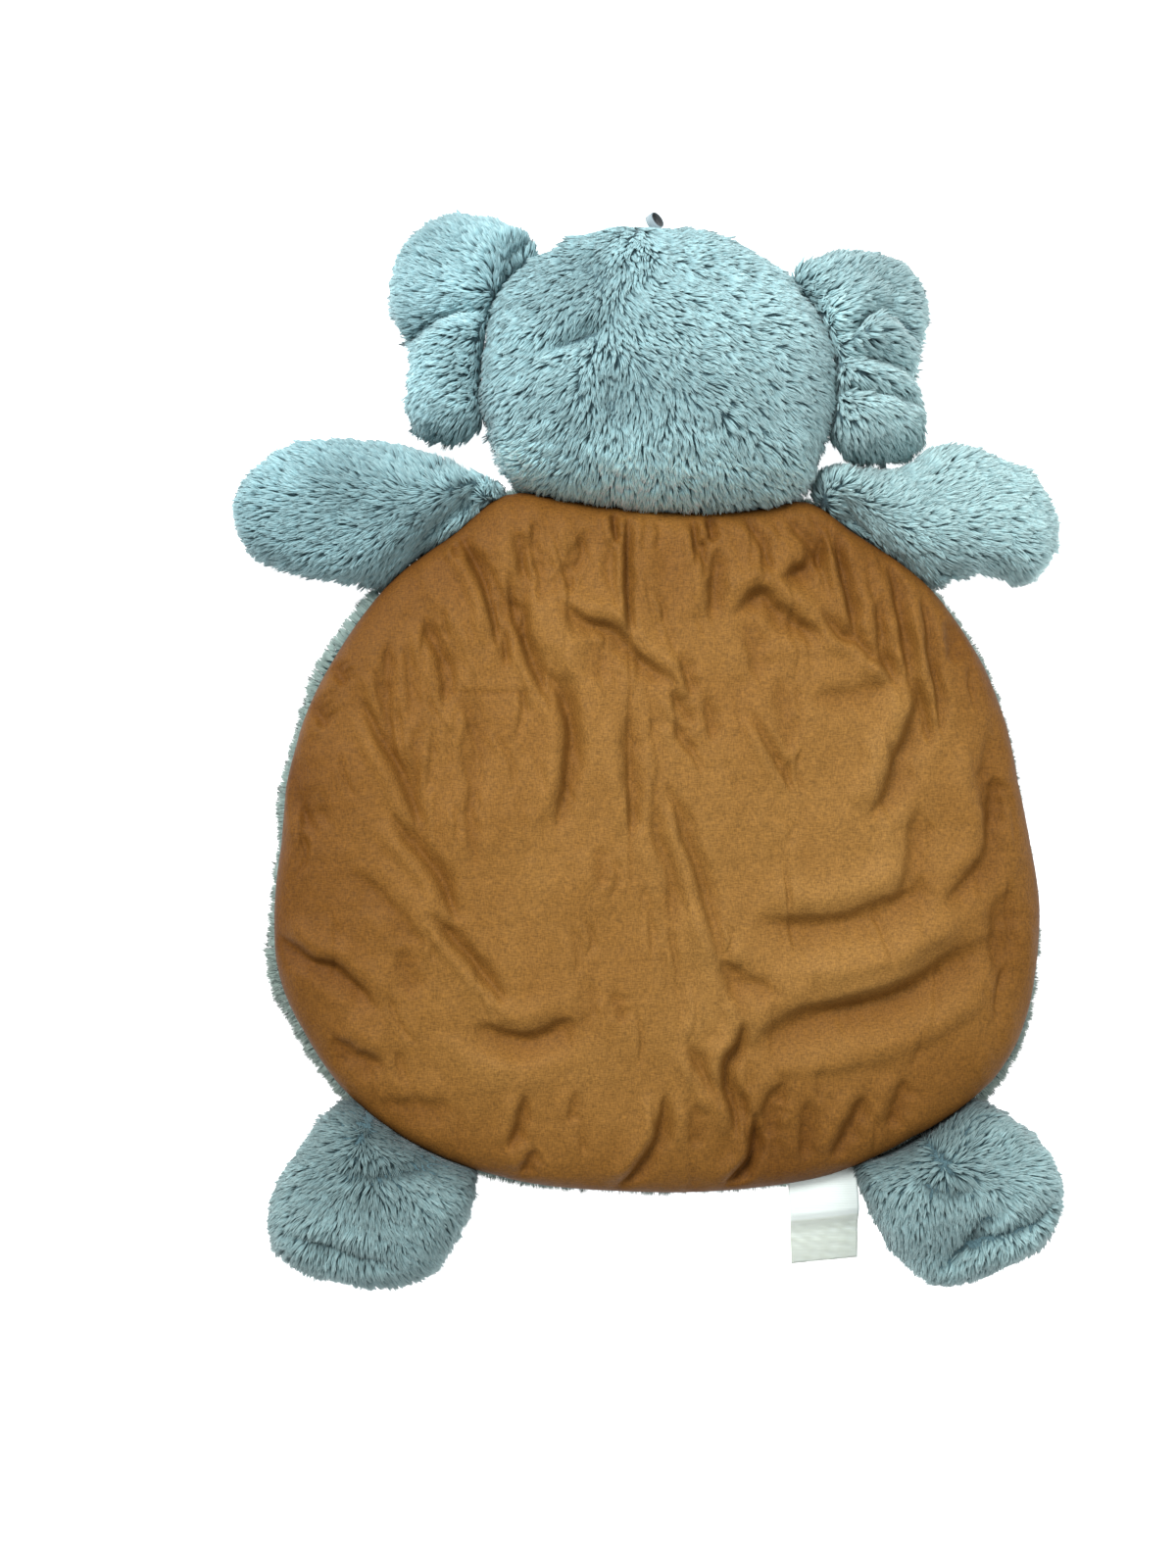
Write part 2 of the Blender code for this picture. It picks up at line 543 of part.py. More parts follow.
# ---- centre the footprint on the origin ----------------------------------------------------
bpy.context.view_layer.update()
corners = np.array([obj.matrix_world @ v.co for obj in bpy.data.objects if obj.type == "MESH"
                    for v in obj.data.vertices])
middle = (corners.min(axis=0) + corners.max(axis=0)) / 2.0
rug.location = (-middle[0], -middle[1], -corners[:, 2].min())
bpy.context.view_layer.update()
print("shift mm", [round(1000 * c, 2) for c in rug.location],
      "size mm", [round(1000 * c, 1) for c in corners.max(axis=0) - corners.min(axis=0)])
print("triangles", {o.name: sum(len(p.vertices) - 2 for p in o.evaluated_get(
    bpy.context.evaluated_depsgraph_get()).data.polygons)
    for o in bpy.data.objects if o.type == "MESH"})
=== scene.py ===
import bmesh
import bpy
import numpy as np
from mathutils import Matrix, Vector
from mathutils.bvhtree import BVHTree
from mathutils.geometry import delaunay_2d_cdt
from mathutils.kdtree import KDTree


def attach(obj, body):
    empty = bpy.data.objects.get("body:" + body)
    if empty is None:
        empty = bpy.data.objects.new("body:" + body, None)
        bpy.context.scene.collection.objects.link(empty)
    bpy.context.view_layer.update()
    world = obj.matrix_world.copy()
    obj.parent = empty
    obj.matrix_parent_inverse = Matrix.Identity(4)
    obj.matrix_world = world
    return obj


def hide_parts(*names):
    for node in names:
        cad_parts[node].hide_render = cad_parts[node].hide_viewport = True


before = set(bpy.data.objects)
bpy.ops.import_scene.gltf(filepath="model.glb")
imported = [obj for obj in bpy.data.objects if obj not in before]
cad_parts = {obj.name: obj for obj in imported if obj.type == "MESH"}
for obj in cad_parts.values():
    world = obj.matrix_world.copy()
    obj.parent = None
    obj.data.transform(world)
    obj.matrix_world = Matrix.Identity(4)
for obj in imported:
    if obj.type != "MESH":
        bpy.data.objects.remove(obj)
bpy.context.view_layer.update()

MM = 0.001

# ---- viewpoint ------------------------------------------------------------------------------
# The mat lies face down on the floor and is looked at from straight above, one metre up,
# with the head towards the top of the picture.
viewer = bpy.data.cameras.new("overhead")
viewer.lens = 30.0
viewer.sensor_width = 36.0
viewer.sensor_fit = "AUTO"
viewer.clip_start = 0.05
overhead = bpy.data.objects.new("overhead", viewer)
overhead.location = (-0.04395, -0.02558, 1.0)
bpy.context.collection.objects.link(overhead)
bpy.context.scene.camera = overhead

# ---- woven cotton backing -------------------------------------------------------------------
# The side that faces up is one piece of caramel cotton, a close plain weave with a soft glow.
# It is sewn to the plush front round its edge and turned out over a thick layer of wadding,
# so it is full just inside the seam, almost flat in the middle, and pulled into long wrinkles
# between the arms, the feet and the neck.
SEAM_HEIGHT = 17.0         # mm, height of the edge seam above the floor
EDGE_RISE, EDGE_WIDTH = 19.0, 26.0     # mm, how much it rises just inside the seam
CROWN_RISE, CROWN_WIDTH = 10.0, 150.0  # mm, and how much more towards the middle
EDGE_ROWS = (0.7, 2.0, 4.2, 7.0)       # mm inside the seam, rows of points along it
UNDER_ROWS = [(2.2, 13.6), (7.0, 12.5)]    # mm inside the seam and above the floor, underneath
MAT_MIDDLE = np.array((5.0, -70.0))    # mm, bearings round the seam are taken from here
FINE_STEP = 1.5            # mm between the points along the wrinkles, twice that elsewhere

# wrinkles: depth (mm, minus is a ridge), half width (mm), path (mm); a trough is steeper on
# the right-hand side of its path, which is the side that turns away from the light
WRINKLES = [
    (5.6, 5.0, ((-137, 156), (-125, 134), (-117, 114), (-112, 96), (-111, 78))),
    (3.0, 3.5, ((-142, 150), (-141, 142))),
    (2.6, 4.5, ((-110, 122), (-104, 104), (-103, 85), (-104, 62))),
    (5.6, 5.0, ((-101, 126), (-98, 104), (-92, 84), (-85, 66), (-80, 53), (-73, 35))),
    (5.4, 6.0, ((-73, 54), (-65, 44), (-59, 28), (-56, 10), (-57, -8), (-60, -30), (-65, -56))),
    (3.6, 5.5, ((-163, 94), (-157, 79), (-151, 66), (-149, 52), (-148, 38))),
    (1.4, 6.0, ((-141, 39), (-132, 28), (-126, 13), (-121, -8))),
    (4.4, 5.5, ((-208, 33), (-200, 17), (-192, 2), (-182, -14), (-175, -31), (-166, -60))),
    (2.4, 4.5, ((-199, 56), (-193, 32), (-187, 12))),
    (1.6, 4.5, ((-190, 76), (-191, 58), (-191, 40))),
    (4.4, 5.5, ((-186, -50), (-176, -64), (-164, -78), (-151, -95), (-145, -111), (-139, -127))),
    (4.6, 5.0, ((-156, -123), (-141, -140), (-128, -155), (-115, -171), (-105, -184))),
    (1.8, 5.0, ((-130, 18), (-134, 0), (-128, -26), (-130, -46), (-128, -66), (-125, -88))),
    (1.5, 4.5, ((-171, 11), (-170, -8), (-169, -27))),
    (4.6, 3.0, ((-25, 173), (-24, 162), (-22, 152))),
    (4.4, 3.0, ((-14, 172), (-15, 150), (-15, 121), (-14, 100), (-13, 80))),
    (3.0, 6.0, ((-95, 156), (-91, 131), (-89, 111))),
    (2.8, 5.0, ((-78, 143), (-78, 126), (-78, 108))),
    (2.2, 7.0, ((-44, 158), (-58, 134), (-68, 117))),
    (4.6, 6.5, ((17, 50), (8, 54), (-3, 62), (-13, 71), (-21, 81), (-31, 88), (-49, 93),
                (-63, 105))),
    (0.9, 1.6, ((-14, 90), (-13, 50), (-14, 20), (-13, -60), (-12, -110))),
    (0.35, 2.6, ((-70, 41), (-110, 41), (-160, 43))),
    (2.0, 10.0, ((-38, 72), (-39, 56))),
    (3.4, 6.0, ((-15, 22), (-14, -8), (-12, -35), (-10, -60))),
    (3.0, 3.0, ((34, 168), (35, 150), (36, 132))),
    (2.6, 3.0, ((41, 160), (41, 144), (42, 127))),
    (4.6, 3.5, ((45, 174), (46, 164), (48, 154))),
    (4.2, 6.0, ((51, 144), (49, 120), (47, 98))),
    (3.0, 4.0, ((72, 171), (80, 159), (85, 146), (86, 124))),
    (5.2, 7.0, ((108, 166), (117, 154), (120, 143), (115, 132), (101, 125))),
    (3.0, 5.0, ((121, 172), (128, 154), (126, 134))),
    (5.2, 7.5, ((124, 84), (107, 92), (93, 103), (82, 112), (68, 101))),
    (2.4, 7.0, ((72, 92), (77, 74), (80, 55))),
    (5.0, 4.0, ((140, 161), (143, 131), (148, 111), (152, 86))),
    (3.6, 5.0, ((128, 101), (141, 85), (153, 80), (164, 69), (176, 60), (181, 46))),
    (4.6, 5.0, ((179, 134), (184, 114), (187, 91), (191, 68), (193, 48))),
    (6.4, 8.0, ((194, 46), (198, 28), (193, 10), (185, -5), (181, -22), (174, -37), (166, -47))),
    (3.4, 6.0, ((173, 112), (171, 90), (176, 68), (182, 50))),
    (4.4, 4.0, ((203, 112), (206, 89), (209, 64), (214, 37), (216, 12))),
    (2.8, 4.0, ((197, 50), (204, 28), (207, 4))),
    (2.6, 7.0, ((223, 91), (225, 66))),
    (2.0, 8.0, ((174, 46), (150, 39), (123, 37))),
    (2.2, 8.0, ((97, 47), (99, 28), (103, 2))),
    (2.8, 4.0, ((77, 24), (85, 8), (95, -9), (105, -27))),
    (3.0, 4.5, ((24, 68), (29, 54), (32, 41))),
    (2.0, 4.5, ((18, 39), (25, 30), (32, 20))),
    (2.0, 4.5, ((20, 18), (25, 8), (31, -3))),
    (2.0, 4.5, ((43, 35), (45, 22), (48, 8))),
    (3.8, 5.5, ((15, -30), (24, -48), (30, -70), (37, -88), (44, -114), (49, -136), (56, -158))),
    (2.2, 6.0, ((56, -158), (64, -176), (70, -194))),
    (2.6, 6.5, ((5, -30), (7, -64), (17, -90), (19, -128))),
    (4.0, 8.0, ((251, 4), (247, -24), (252, -54), (250, -80), (236, -96), (219, -113))),
    (3.0, 6.0, ((256, -24), (254, -54))),
    (3.4, 9.0, ((198, -50), (196, -70), (192, -92), (186, -108))),
    (5.0, 11.0, ((206, -98), (190, -111), (171, -119), (150, -126), (118, -131), (84, -127))),
    (6.4, 13.0, ((244, -146), (222, -160), (198, -174), (176, -184), (150, -190), (122, -197),
                 (99, -207), (80, -219))),
    (2.6, 7.0, ((196, -176), (166, -188), (132, -195))),
    (2.4, 8.0, ((94, -179), (70, -169), (56, -159))),
    (6.6, 5.0, ((70, -201), (67, -216), (58, -230), (58, -247), (63, -261), (66, -282))),
    (3.4, 5.0, ((31, -219), (42, -239), (52, -259))),
    (2.6, 3.5, ((70, -253), (73, -286))),
    (6.2, 4.5, ((79, -269), (78, -293), (71, -309), (60, -319))),
    (3.2, 6.0, ((98, -248), (89, -261), (90, -282))),
    (5.0, 5.0, ((13, -256), (10, -280), (1, -298), (-9, -312), (-21, -324))),
    (2.2, 6.0, ((35, -264), (34, -289))),
    (2.2, 6.0, ((117, -262), (115, -298))),
    (4.0, 6.0, ((158, -258), (148, -278), (138, -298))),
    (3.2, 6.0, ((188, -246), (180, -275))),
    (3.0, 9.0, ((261, -110), (257, -136), (259, -171))),
    (5.0, 9.5, ((-55, -203), (-69, -208), (-87, -215), (-102, -213), (-121, -207))),
    (4.4, 7.0, ((-204, -187), (-218, -173), (-230, -163), (-245, -158), (-258, -150),
                (-272, -140))),
    (2.0, 8.0, ((-162, -142), (-175, -134), (-184, -121), (-200, -105), (-214, -92))),
    (1.8, 8.0, ((-180, -150), (-173, -178))),
    (1.6, 6.0, ((-36, -75), (-34, -98))),
    (1.6, 5.0, ((-25, -181), (-19, -198))),
    (3.6, 4.5, ((-90, -256), (-94, -276), (-100, -292))),
    (3.0, 5.0, ((-83, -297), (-91, -311))),
    (1.6, 4.0, ((-53, -253), (-57, -272))),
    (3.6, 8.0, ((-198, -232), (-214, -226), (-228, -216))),
    (2.0, 9.0, ((-146, -265), (-170, -264), (-192, -262))),
    (3.0, 6.0, ((-229, 60), (-224, 50))),
    (3.0, 7.0, ((-246, 32), (-238, 20))),
    (3.0, 9.0, ((-262, -8), (-258, -34), (-246, -56))),
    (-3.0, 14.0, ((-83, 138), (-70, 92), (-44, 40), (-38, -20))),
    (-3.0, 15.0, ((110, -160), (170, -150), (225, -125))),
    (-3.0, 14.0, ((36, -120), (45, -165), (30, -205))),
    (-3.5, 13.0, ((100, -232), (160, -222), (220, -196), (256, -160))),
    (-2.5, 12.0, ((-70, -228), (-110, -233), (-150, -215))),
    (-2.5, 10.0, ((-160, 120), (-132, 80), (-125, 40))),
]
TROUGH_SKEW = 0.35         # how much wider the gentle side of a trough is
FOLD_DEPTH = 1.4           # the depths in the table are multiplied by this
FINE_CREASES = 190         # how many short soft creases lie between the wrinkles
SLACK = 12.0               # mm from the seam over which the unevenness comes in


def welded(node):
    """The CAD node's mesh as a bmesh with its doubled corners joined."""
    bm = bmesh.new()
    bm.from_mesh(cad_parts[node].data)
    bmesh.ops.remove_doubles(bm, verts=bm.verts, dist=1e-5)
    return bm


def bearing_of(points):
    """Bearing of each plan point from the middle of the mat, in degrees."""
    return np.degrees(np.arctan2(points[:, 1] - MAT_MIDDLE[1], points[:, 0] - MAT_MIDDLE[0]))


def seam_loop(node, height):
    """The node's edge seam as a closed loop of plan points in mm, anticlockwise."""
    bm = welded(node)
    rim = np.array([v.co[:2] for v in bm.verts if abs(v.co.z / MM - height) < 0.06]) / MM
    bm.free()
    return rim[np.argsort(bearing_of(rim))]


def even(loop, spacing):
    """The closed loop with its points an even distance apart."""
    closed = np.vstack([loop, loop[:1]])
    run = np.concatenate([[0.0], np.cumsum(np.linalg.norm(np.diff(closed, axis=0), axis=1))])
    at = np.linspace(0.0, run[-1], max(8, int(round(run[-1] / spacing))), endpoint=False)
    return np.column_stack([np.interp(at, run, closed[:, k]) for k in (0, 1)])


def rounded(loop, times):
    """The closed loop with its corners eased."""
    for _ in range(times):
        loop = (np.roll(loop, 1, axis=0) + 2.0 * loop + np.roll(loop, -1, axis=0)) / 4.0
    return loop


def outward(loop):
    """Unit normals of an anticlockwise loop, pointing out."""
    tangent = np.roll(loop, -1, axis=0) - np.roll(loop, 1, axis=0)
    tangent /= np.linalg.norm(tangent, axis=1)[:, None]
    return np.column_stack([tangent[:, 1], -tangent[:, 0]])


def edge_distance(points, loop):
    """How far each point is inside the loop, in mm; outside is minus."""
    best = np.full(len(points), 1e9)
    inside = np.zeros(len(points), bool)
    for p0, p1 in zip(loop, np.roll(loop, -1, axis=0)):
        d = p1 - p0
        t = np.clip(((points - p0) @ d) / max(d @ d, 1e-12), 0.0, 1.0)
        best = np.minimum(best, np.linalg.norm(points - p0 - t[:, None] * d, axis=1))
        span = (p0[1] > points[:, 1]) != (p1[1] > points[:, 1])
        cross = d[0] * (points[:, 1] - p0[1]) / (d[1] if abs(d[1]) > 1e-12 else 1e-12) + p0[0]
        inside ^= span & (points[:, 0] < cross)
    return np.where(inside, best, -best)


def softened(path, steps=10):
    """An open path through the given points, rounded at its bends."""
    p = np.array(path, float)
    p = np.vstack([2 * p[0] - p[1], p, 2 * p[-1] - p[-2]])
    out = []
    for a, b, c, d in zip(p[:-3], p[1:-2], p[2:-1], p[3:]):
        for t in np.linspace(0.0, 1.0, steps, endpoint=False):
            out.append(0.5 * (2 * b + (c - a) * t + (2 * a - 5 * b + 4 * c - d) * t ** 2
                              + (3 * b - a - 3 * c + d) * t ** 3))
    return np.array(out + [p[-2]])


def lengthened(path, extra):
    """The path run on by `extra` at both ends."""
    p = np.array(path, float)
    head, tail = p[0] - p[1], p[-1] - p[-2]
    p[0] += head / np.linalg.norm(head) * extra
    p[-1] += tail / np.linalg.norm(tail) * extra
    return p


def creased(points, table):
    """Height that the wrinkles add, and how close each point is to one, in half widths."""
    total, close = np.zeros(len(points)), np.full(len(points), 9.0)
    for depth, half, path in table:
        p = softened(lengthened(path, 0.7 * half))
        reach = (points > p.min(axis=0) - half * 5).all(axis=1) & \
                (points < p.max(axis=0) + half * 5).all(axis=1)
        near = points[reach]
        if not len(near):
            continue
        seg = np.linalg.norm(np.diff(p, axis=0), axis=1)
        start = np.concatenate([[0.0], np.cumsum(seg)])
        best, side, along = np.full(len(near), 1e9), np.ones(len(near)), np.zeros(len(near))
        for i, length in enumerate(seg):
            d = p[i + 1] - p[i]
            t = np.clip(((near - p[i]) @ d) / (d @ d), 0.0, 1.0)
            off = near - p[i] - t[:, None] * d
            dist = np.linalg.norm(off, axis=1)
            closer = dist < best
            best = np.where(closer, dist, best)
            side = np.where(closer, (d[0] * off[:, 1] - d[1] * off[:, 0]) / length, side)
            along = np.where(closer, (start[i] + t * length) / start[-1], along)
        fade = np.clip(np.minimum(along, 1.0 - along) / 0.3, 0.0, 1.0)
        fade = 0.08 + 0.92 * fade * (2.0 - fade)
        skew = TROUGH_SKEW * np.clip(side / half, -1.0, 1.0)
        width = half * (1.0 + skew) * (0.55 + 0.45 * fade) * \
            (0.85 + 0.3 * np.sin(along * 9.0 + half) ** 2)
        shape = -np.exp(-(best / width) ** 2)
        if depth > 0:
            shape += (0.36 - 0.26 * np.clip(side / half, -1, 1)) * \
                np.exp(-((best - 2.0 * half) / (1.1 * half)) ** 2)
            close[reach] = np.minimum(close[reach], best / width + 1.0 - fade)
        total[reach] += depth * fade * shape
    return total, close


def swell(inside, width, power=2.2):
    """Pillow profile: 0 at the seam, 1 from `width` inside it, upright where it starts."""
    t = np.clip(inside / width, 0.0, 1.0)
    return (1.0 - (1.0 - t) ** power) ** (1.0 / power)


def waves(points, size, seed, count=5):
    """Soft unevenness from a few crossed waves, about -1 to 1. Works on plan or space points."""
    rng = np.random.default_rng(seed)
    total = np.zeros(len(points))
    for _ in range(count):
        heading = rng.normal(size=points.shape[1])
        heading *= 2.0 * np.pi / (size * rng.uniform(0.8, 1.6) * np.linalg.norm(heading))
        total += np.sin(points @ heading + rng.uniform(0.0, 6.28))
    return total / (0.6 * count)


def staggered(loop, margin, spacing):
    """An even staggered field of plan points that stays `margin` inside the loop."""
    low, high = loop.min(axis=0), loop.max(axis=0)
    x, y = np.meshgrid(np.arange(low[0], high[0], spacing),
                       np.arange(low[1], high[1], spacing * 0.866))
    x[1::2] += spacing / 2
    field = np.column_stack([x.ravel(), y.ravel()])
    return field[edge_distance(field, loop) > margin]


def filled(loop, inner):
    """Triangles over the loop: its own points first, then the inner ones."""
    n = len(loop)
    done = delaunay_2d_cdt([Vector(p) for p in np.vstack([loop, inner])],
                           [(i, (i + 1) % n) for i in range(n)], [list(range(n))], 1, 1e-6)
    back = {i: source[0] for i, source in enumerate(done[3]) if source}
    return [[back[i] for i in face] for face in done[2]]


def placed(name, verts, faces):
    """A piece from vertices in mm and faces."""
    mesh = bpy.data.meshes.new(name)
    mesh.from_pydata([tuple(v) for v in np.asarray(verts) * MM], [], faces)
    mesh.validate()
    bm = bmesh.new()
    bm.from_mesh(mesh)
    bmesh.ops.recalc_face_normals(bm, faces=bm.faces)
    bm.to_mesh(mesh)
    bm.free()
    mesh.shade_smooth()
    return shown(name, mesh)


def shown(name, mesh):
    """The mesh as an object in the scene."""
    piece = bpy.data.objects.new(name, mesh)
    bpy.context.collection.objects.link(piece)
    return piece


def spot(points, x, y, radius):
    """A soft round patch in plan: 1 in its middle, fading out over the radius."""
    return np.exp(-((points[:, 0] - x) ** 2 + (points[:, 1] - y) ** 2) / radius ** 2)


def painted(mesh, name, red, green, blue):
    """Keeps three values for each vertex as a colour, for the material to read."""
    layer = mesh.color_attributes.new(name, "FLOAT_COLOR", "POINT")
    rgba = np.column_stack([red, green, blue, np.ones(len(red))])
    layer.data.foreach_set("color", rgba.ravel())


def linear(colour):
    """sRGB hex to a linear RGBA colour."""
    parts = [int(colour[i:i + 2], 16) / 255.0 for i in (1, 3, 5)]
    return (*[c / 12.92 if c <= 0.04045 else ((c + 0.055) / 1.055) ** 2.4 for c in parts], 1.0)


def add(material, kind, links=(), **settings):
    """A node with its settings; links are (input, source node, output)."""
    tree = material.node_tree
    node = tree.nodes.new("ShaderNode" + kind)
    for key, value in settings.items():
        if key.startswith("in_"):
            slot = key[3:].replace("_", " ")
            node.inputs[int(slot) if slot.isdigit() else slot].default_value = value
        else:
            setattr(node, key, value)
    for slot, source, output in links:
        tree.links.new(source.outputs[output], node.inputs[slot])
    return node


def finish(name, roughness, sheen, specular=0.4):
    """A new material with its Principled shader."""
    material = bpy.data.materials.new(name)
    material.use_nodes = True
    shader = material.node_tree.nodes["Principled BSDF"]
    shader.inputs["Roughness"].default_value = roughness
    shader.inputs["Metallic"].default_value = 0.0
    shader.inputs["IOR"].default_value = 1.5
    shader.inputs["Specular IOR Level"].default_value = specular
    shader.inputs["Sheen Weight"].default_value = sheen
    shader.inputs["Sheen Roughness"].default_value = 0.5
    return material, shader


def join(material, source, output, target, slot):
    """Links a node's output to the input of a shader."""
    material.node_tree.links.new(source.outputs[output], target.inputs[slot])


def with_painted_light_and_shade(material, colour):
    """The colour multiplied by the light and shade that are painted on the piece."""
    painted_light_and_shade = add(material, "Attribute", attribute_name="painted_light_and_shade")
    return add(material, "MixRGB", [("Color1", colour, "Color"), ("Color2", painted_light_and_shade, "Color")],
               blend_type="MULTIPLY", in_Fac=1.0)


SEAM_EASE = [  # bearing (degrees), how far the seam is eased out there (mm)
    (-180, 0), (-163, 2.5), (-152, 1.2), (-143, 4.5), (-129, 3.5), (-115, 0.5), (-95, 0.5),
    (-75, 1.2), (-62, 1.2), (-49, -1.5), (-42, 1.0), (-35, 3.5), (-28, 2.5), (-17, 2.5), (-8, 3),
    (0, 1), (9, 1), (18, 4), (28, 4.5), (38, 1), (58, 0), (66, 3.5), (110, 4), (116, 2),
    (124, 0), (165, 0), (171, 2), (180, 0),
]

backing_seam = even(rounded(seam_loop("body_pad", SEAM_HEIGHT), 2), 3.0)
backing_seam = backing_seam + outward(backing_seam) * np.interp(
    bearing_of(backing_seam), *np.array(SEAM_EASE, float).T)[:, None]
backing_out = outward(backing_seam)
edge_rows = [backing_seam - backing_out * inset for inset in EDGE_ROWS]
# short soft creases that run down the mat, closer together towards its top
rng = np.random.default_rng(5)
creases = []
for x, y in np.column_stack([rng.uniform(-265, 270, FINE_CREASES),
                             175.0 - 480.0 * rng.random(FINE_CREASES) ** 1.5]):
    heading = np.radians(-82.0) - 0.0012 * x * (y < -150) + rng.normal() * 0.14
    run, bow = rng.uniform(18.0, 55.0), rng.normal() * 2.5
    along = np.array((np.cos(heading), np.sin(heading)))
    across = np.array((-along[1], along[0]))
    spine = [np.array((x, y)) + along * run * t + across * bow * 4 * t * (1 - t)
             for t in (0.0, 0.33, 0.67, 1.0)]
    creases.append((rng.uniform(0.5, 1.3), rng.uniform(1.8, 3.4), spine))
fine = staggered(backing_seam, 9.0, FINE_STEP)
lattice = np.round((fine - fine.min(axis=0)) / (FINE_STEP * np.array((0.5, 0.866)))).astype(int)
broad = (lattice[:, 1] % 2 == 0) & ((lattice[:, 0] + lattice[:, 1]) % 4 == 0)
fine = fine[broad | (creased(fine, WRINKLES + creases)[1] < 1.7)]
top_points = np.vstack(edge_rows + [fine])
top_points = top_points[edge_distance(top_points, backing_seam) > 0.5]
inside = edge_distance(top_points, backing_seam)
top_height = (SEAM_HEIGHT + EDGE_RISE * swell(inside, EDGE_WIDTH)
              + CROWN_RISE * swell(inside, CROWN_WIDTH, 1.6))
calm = np.clip(inside / SLACK, 0.0, 1.0)
fold_height, fold_near = creased(top_points, WRINKLES)
fold_height += creased(top_points, creases)[0]
top_height += calm * FOLD_DEPTH * fold_height
# the wadding is lumpy over 58 and 19 mm, and the cloth is crinkled down its warp
top_height += calm * (1.3 * waves(top_points, 58.0, 3) + 0.45 * waves(top_points, 19.0, 4))
crinkle = waves(top_points * (1.0, 0.14), 15.0, 6, 9) * (0.6 + 0.4 * waves(top_points, 90.0, 7))
crinkle *= 0.6 + 0.4 * np.clip(top_points[:, 1] / 120.0 + 0.5, 0.0, 1.0)
top_height += 1.15 * calm * crinkle
top_height += 0.42 * calm * waves(top_points * (1.0, 0.5), 7.0, 8, 9)
# the seam thread puckers the edge 61 times round the mat
round_mat = np.arctan2(top_points[:, 1] - MAT_MIDDLE[1], top_points[:, 0])
pucker = 0.5 * np.sin(np.unwrap(round_mat) * 61.0)
top_height += pucker * np.clip(inside / 3.0, 0, 1) * np.exp(-inside / 7.0)
top_height = np.maximum(top_height, SEAM_HEIGHT + 0.3)

ring = len(backing_seam)
under = [np.column_stack([backing_seam - backing_out * inset, np.full(ring, level)])
         for inset, level in UNDER_ROWS]
backing_verts = np.vstack([np.column_stack([backing_seam, np.full(ring, SEAM_HEIGHT)]),
                           np.column_stack([top_points, top_height]), *under])
backing_faces = filled(backing_seam, top_points)
first, second = ring + len(top_points), 2 * ring + len(top_points)
for i in range(ring):
    j = (i + 1) % ring
    backing_faces.append([i, first + i, first + j, j])
    backing_faces.append([first + i, second + i, second + j, first + j])
backing_faces.append([second + i for i in range(ring)])
backing = placed("cotton_backing", backing_verts, backing_faces)
# how pale the cloth is painted, all of it painted light and shade: it is stretched over the
# wadding in the middle and slack towards the seam, and it is painted paler in the middle and
# darker, as painted shade, towards the seam, in the bottom of the wrinkles and underneath
UNDERSIDE_PAINTED_SHADE = 0.42
# painted light and shade: soft patches where the cloth is painted paler or darker than the lamps
# make it
COTTON_PAINTED_LIGHT_AND_SHADE = [  # x, y, radius (mm), how much paler the cloth is there
    (-187, 89, 90, -0.13), (-252, -60, 60, -0.16), (20, 110, 55, -0.16), (8, 182, 24, 0.36),
    (-75, -262, 60, 0.16), (-175, -252, 45, 0.10), (105, -284, 60, -0.24), (90, -300, 30, -0.15),
    (250, -133, 50, -0.14), (205, -235, 50, -0.12), (225, 140, 40, 0.06), (-230, -140, 60, -0.14),
    (-30, -10, 90, 0.05), (265, 60, 30, -0.15), (130, 120, 50, -0.12), (60, -210, 60, 0.06),
]
# painted shade towards the seam, where the cloth turns away from the light, and a painted glow in
# the middle
reach = np.clip(inside / 120.0, 0.0, 1.0)
pale = 0.64 + 0.36 * reach * (2.0 - reach)
# painted shade in a band along the seam and in the bottom of the wrinkles
pale *= 1.0 - 0.30 * np.exp(-(inside / 5.0) ** 2) - 0.09 * np.exp(-(fold_near / 0.9) ** 2)
# painted shade in the hollows of the wrinkles, painted light on their ridges
pale *= 1.0 + 0.028 * np.clip(fold_height, -6.0, 2.5)
# painted light, paler to the right and darker to the left, and painted shade in the hollows of
# the crinkles
pale *= 1.0 + 0.06 * np.clip(top_points[:, 0] / 220.0, -1.0, 1.0) + 0.045 * crinkle
for x, y, radius, amount in COTTON_PAINTED_LIGHT_AND_SHADE:
    pale *= 1.0 + amount * spot(top_points, x, y, radius)
pale = np.concatenate([np.full(ring, UNDERSIDE_PAINTED_SHADE), pale, np.full(2 * ring, UNDERSIDE_PAINTED_SHADE)])
# the painted shade is deepest in the blue and least in the red, as shade on brown cloth is
painted(backing.data, "painted_light_and_shade", pale, pale ** 1.35, pale ** 2.3)

# Plain-woven cotton in caramel: matt, with a fine even grain of crossing threads.
cotton, shader = finish("caramel_cotton_plain_weave", 0.68, 0.0, 0.18)
place = add(cotton, "TexCoord")
# threads are 0.4 mm apart in the real cloth and are drawn 1 mm wide in slubs 4 mm long, so
# that they show: a noise has one lump about every 1 / scale metres
warp_place = add(cotton, "VectorMath", [(0, place, "Object")], operation="MULTIPLY",
                 in_1=(1.0, 0.25, 1.0))
weft_place = add(cotton, "VectorMath", [(0, place, "Object")], operation="MULTIPLY",
                 in_1=(0.25, 1.0, 1.0))
warp = add(cotton, "TexNoise", [("Vector", warp_place, 0)], in_Scale=1050.0, in_Detail=2.5)
weft = add(cotton, "TexNoise", [("Vector", weft_place, 0)], in_Scale=1050.0, in_Detail=2.5)
weave = add(cotton, "Math", [(0, warp, "Fac"), (1, weft, "Fac")], operation="ADD")
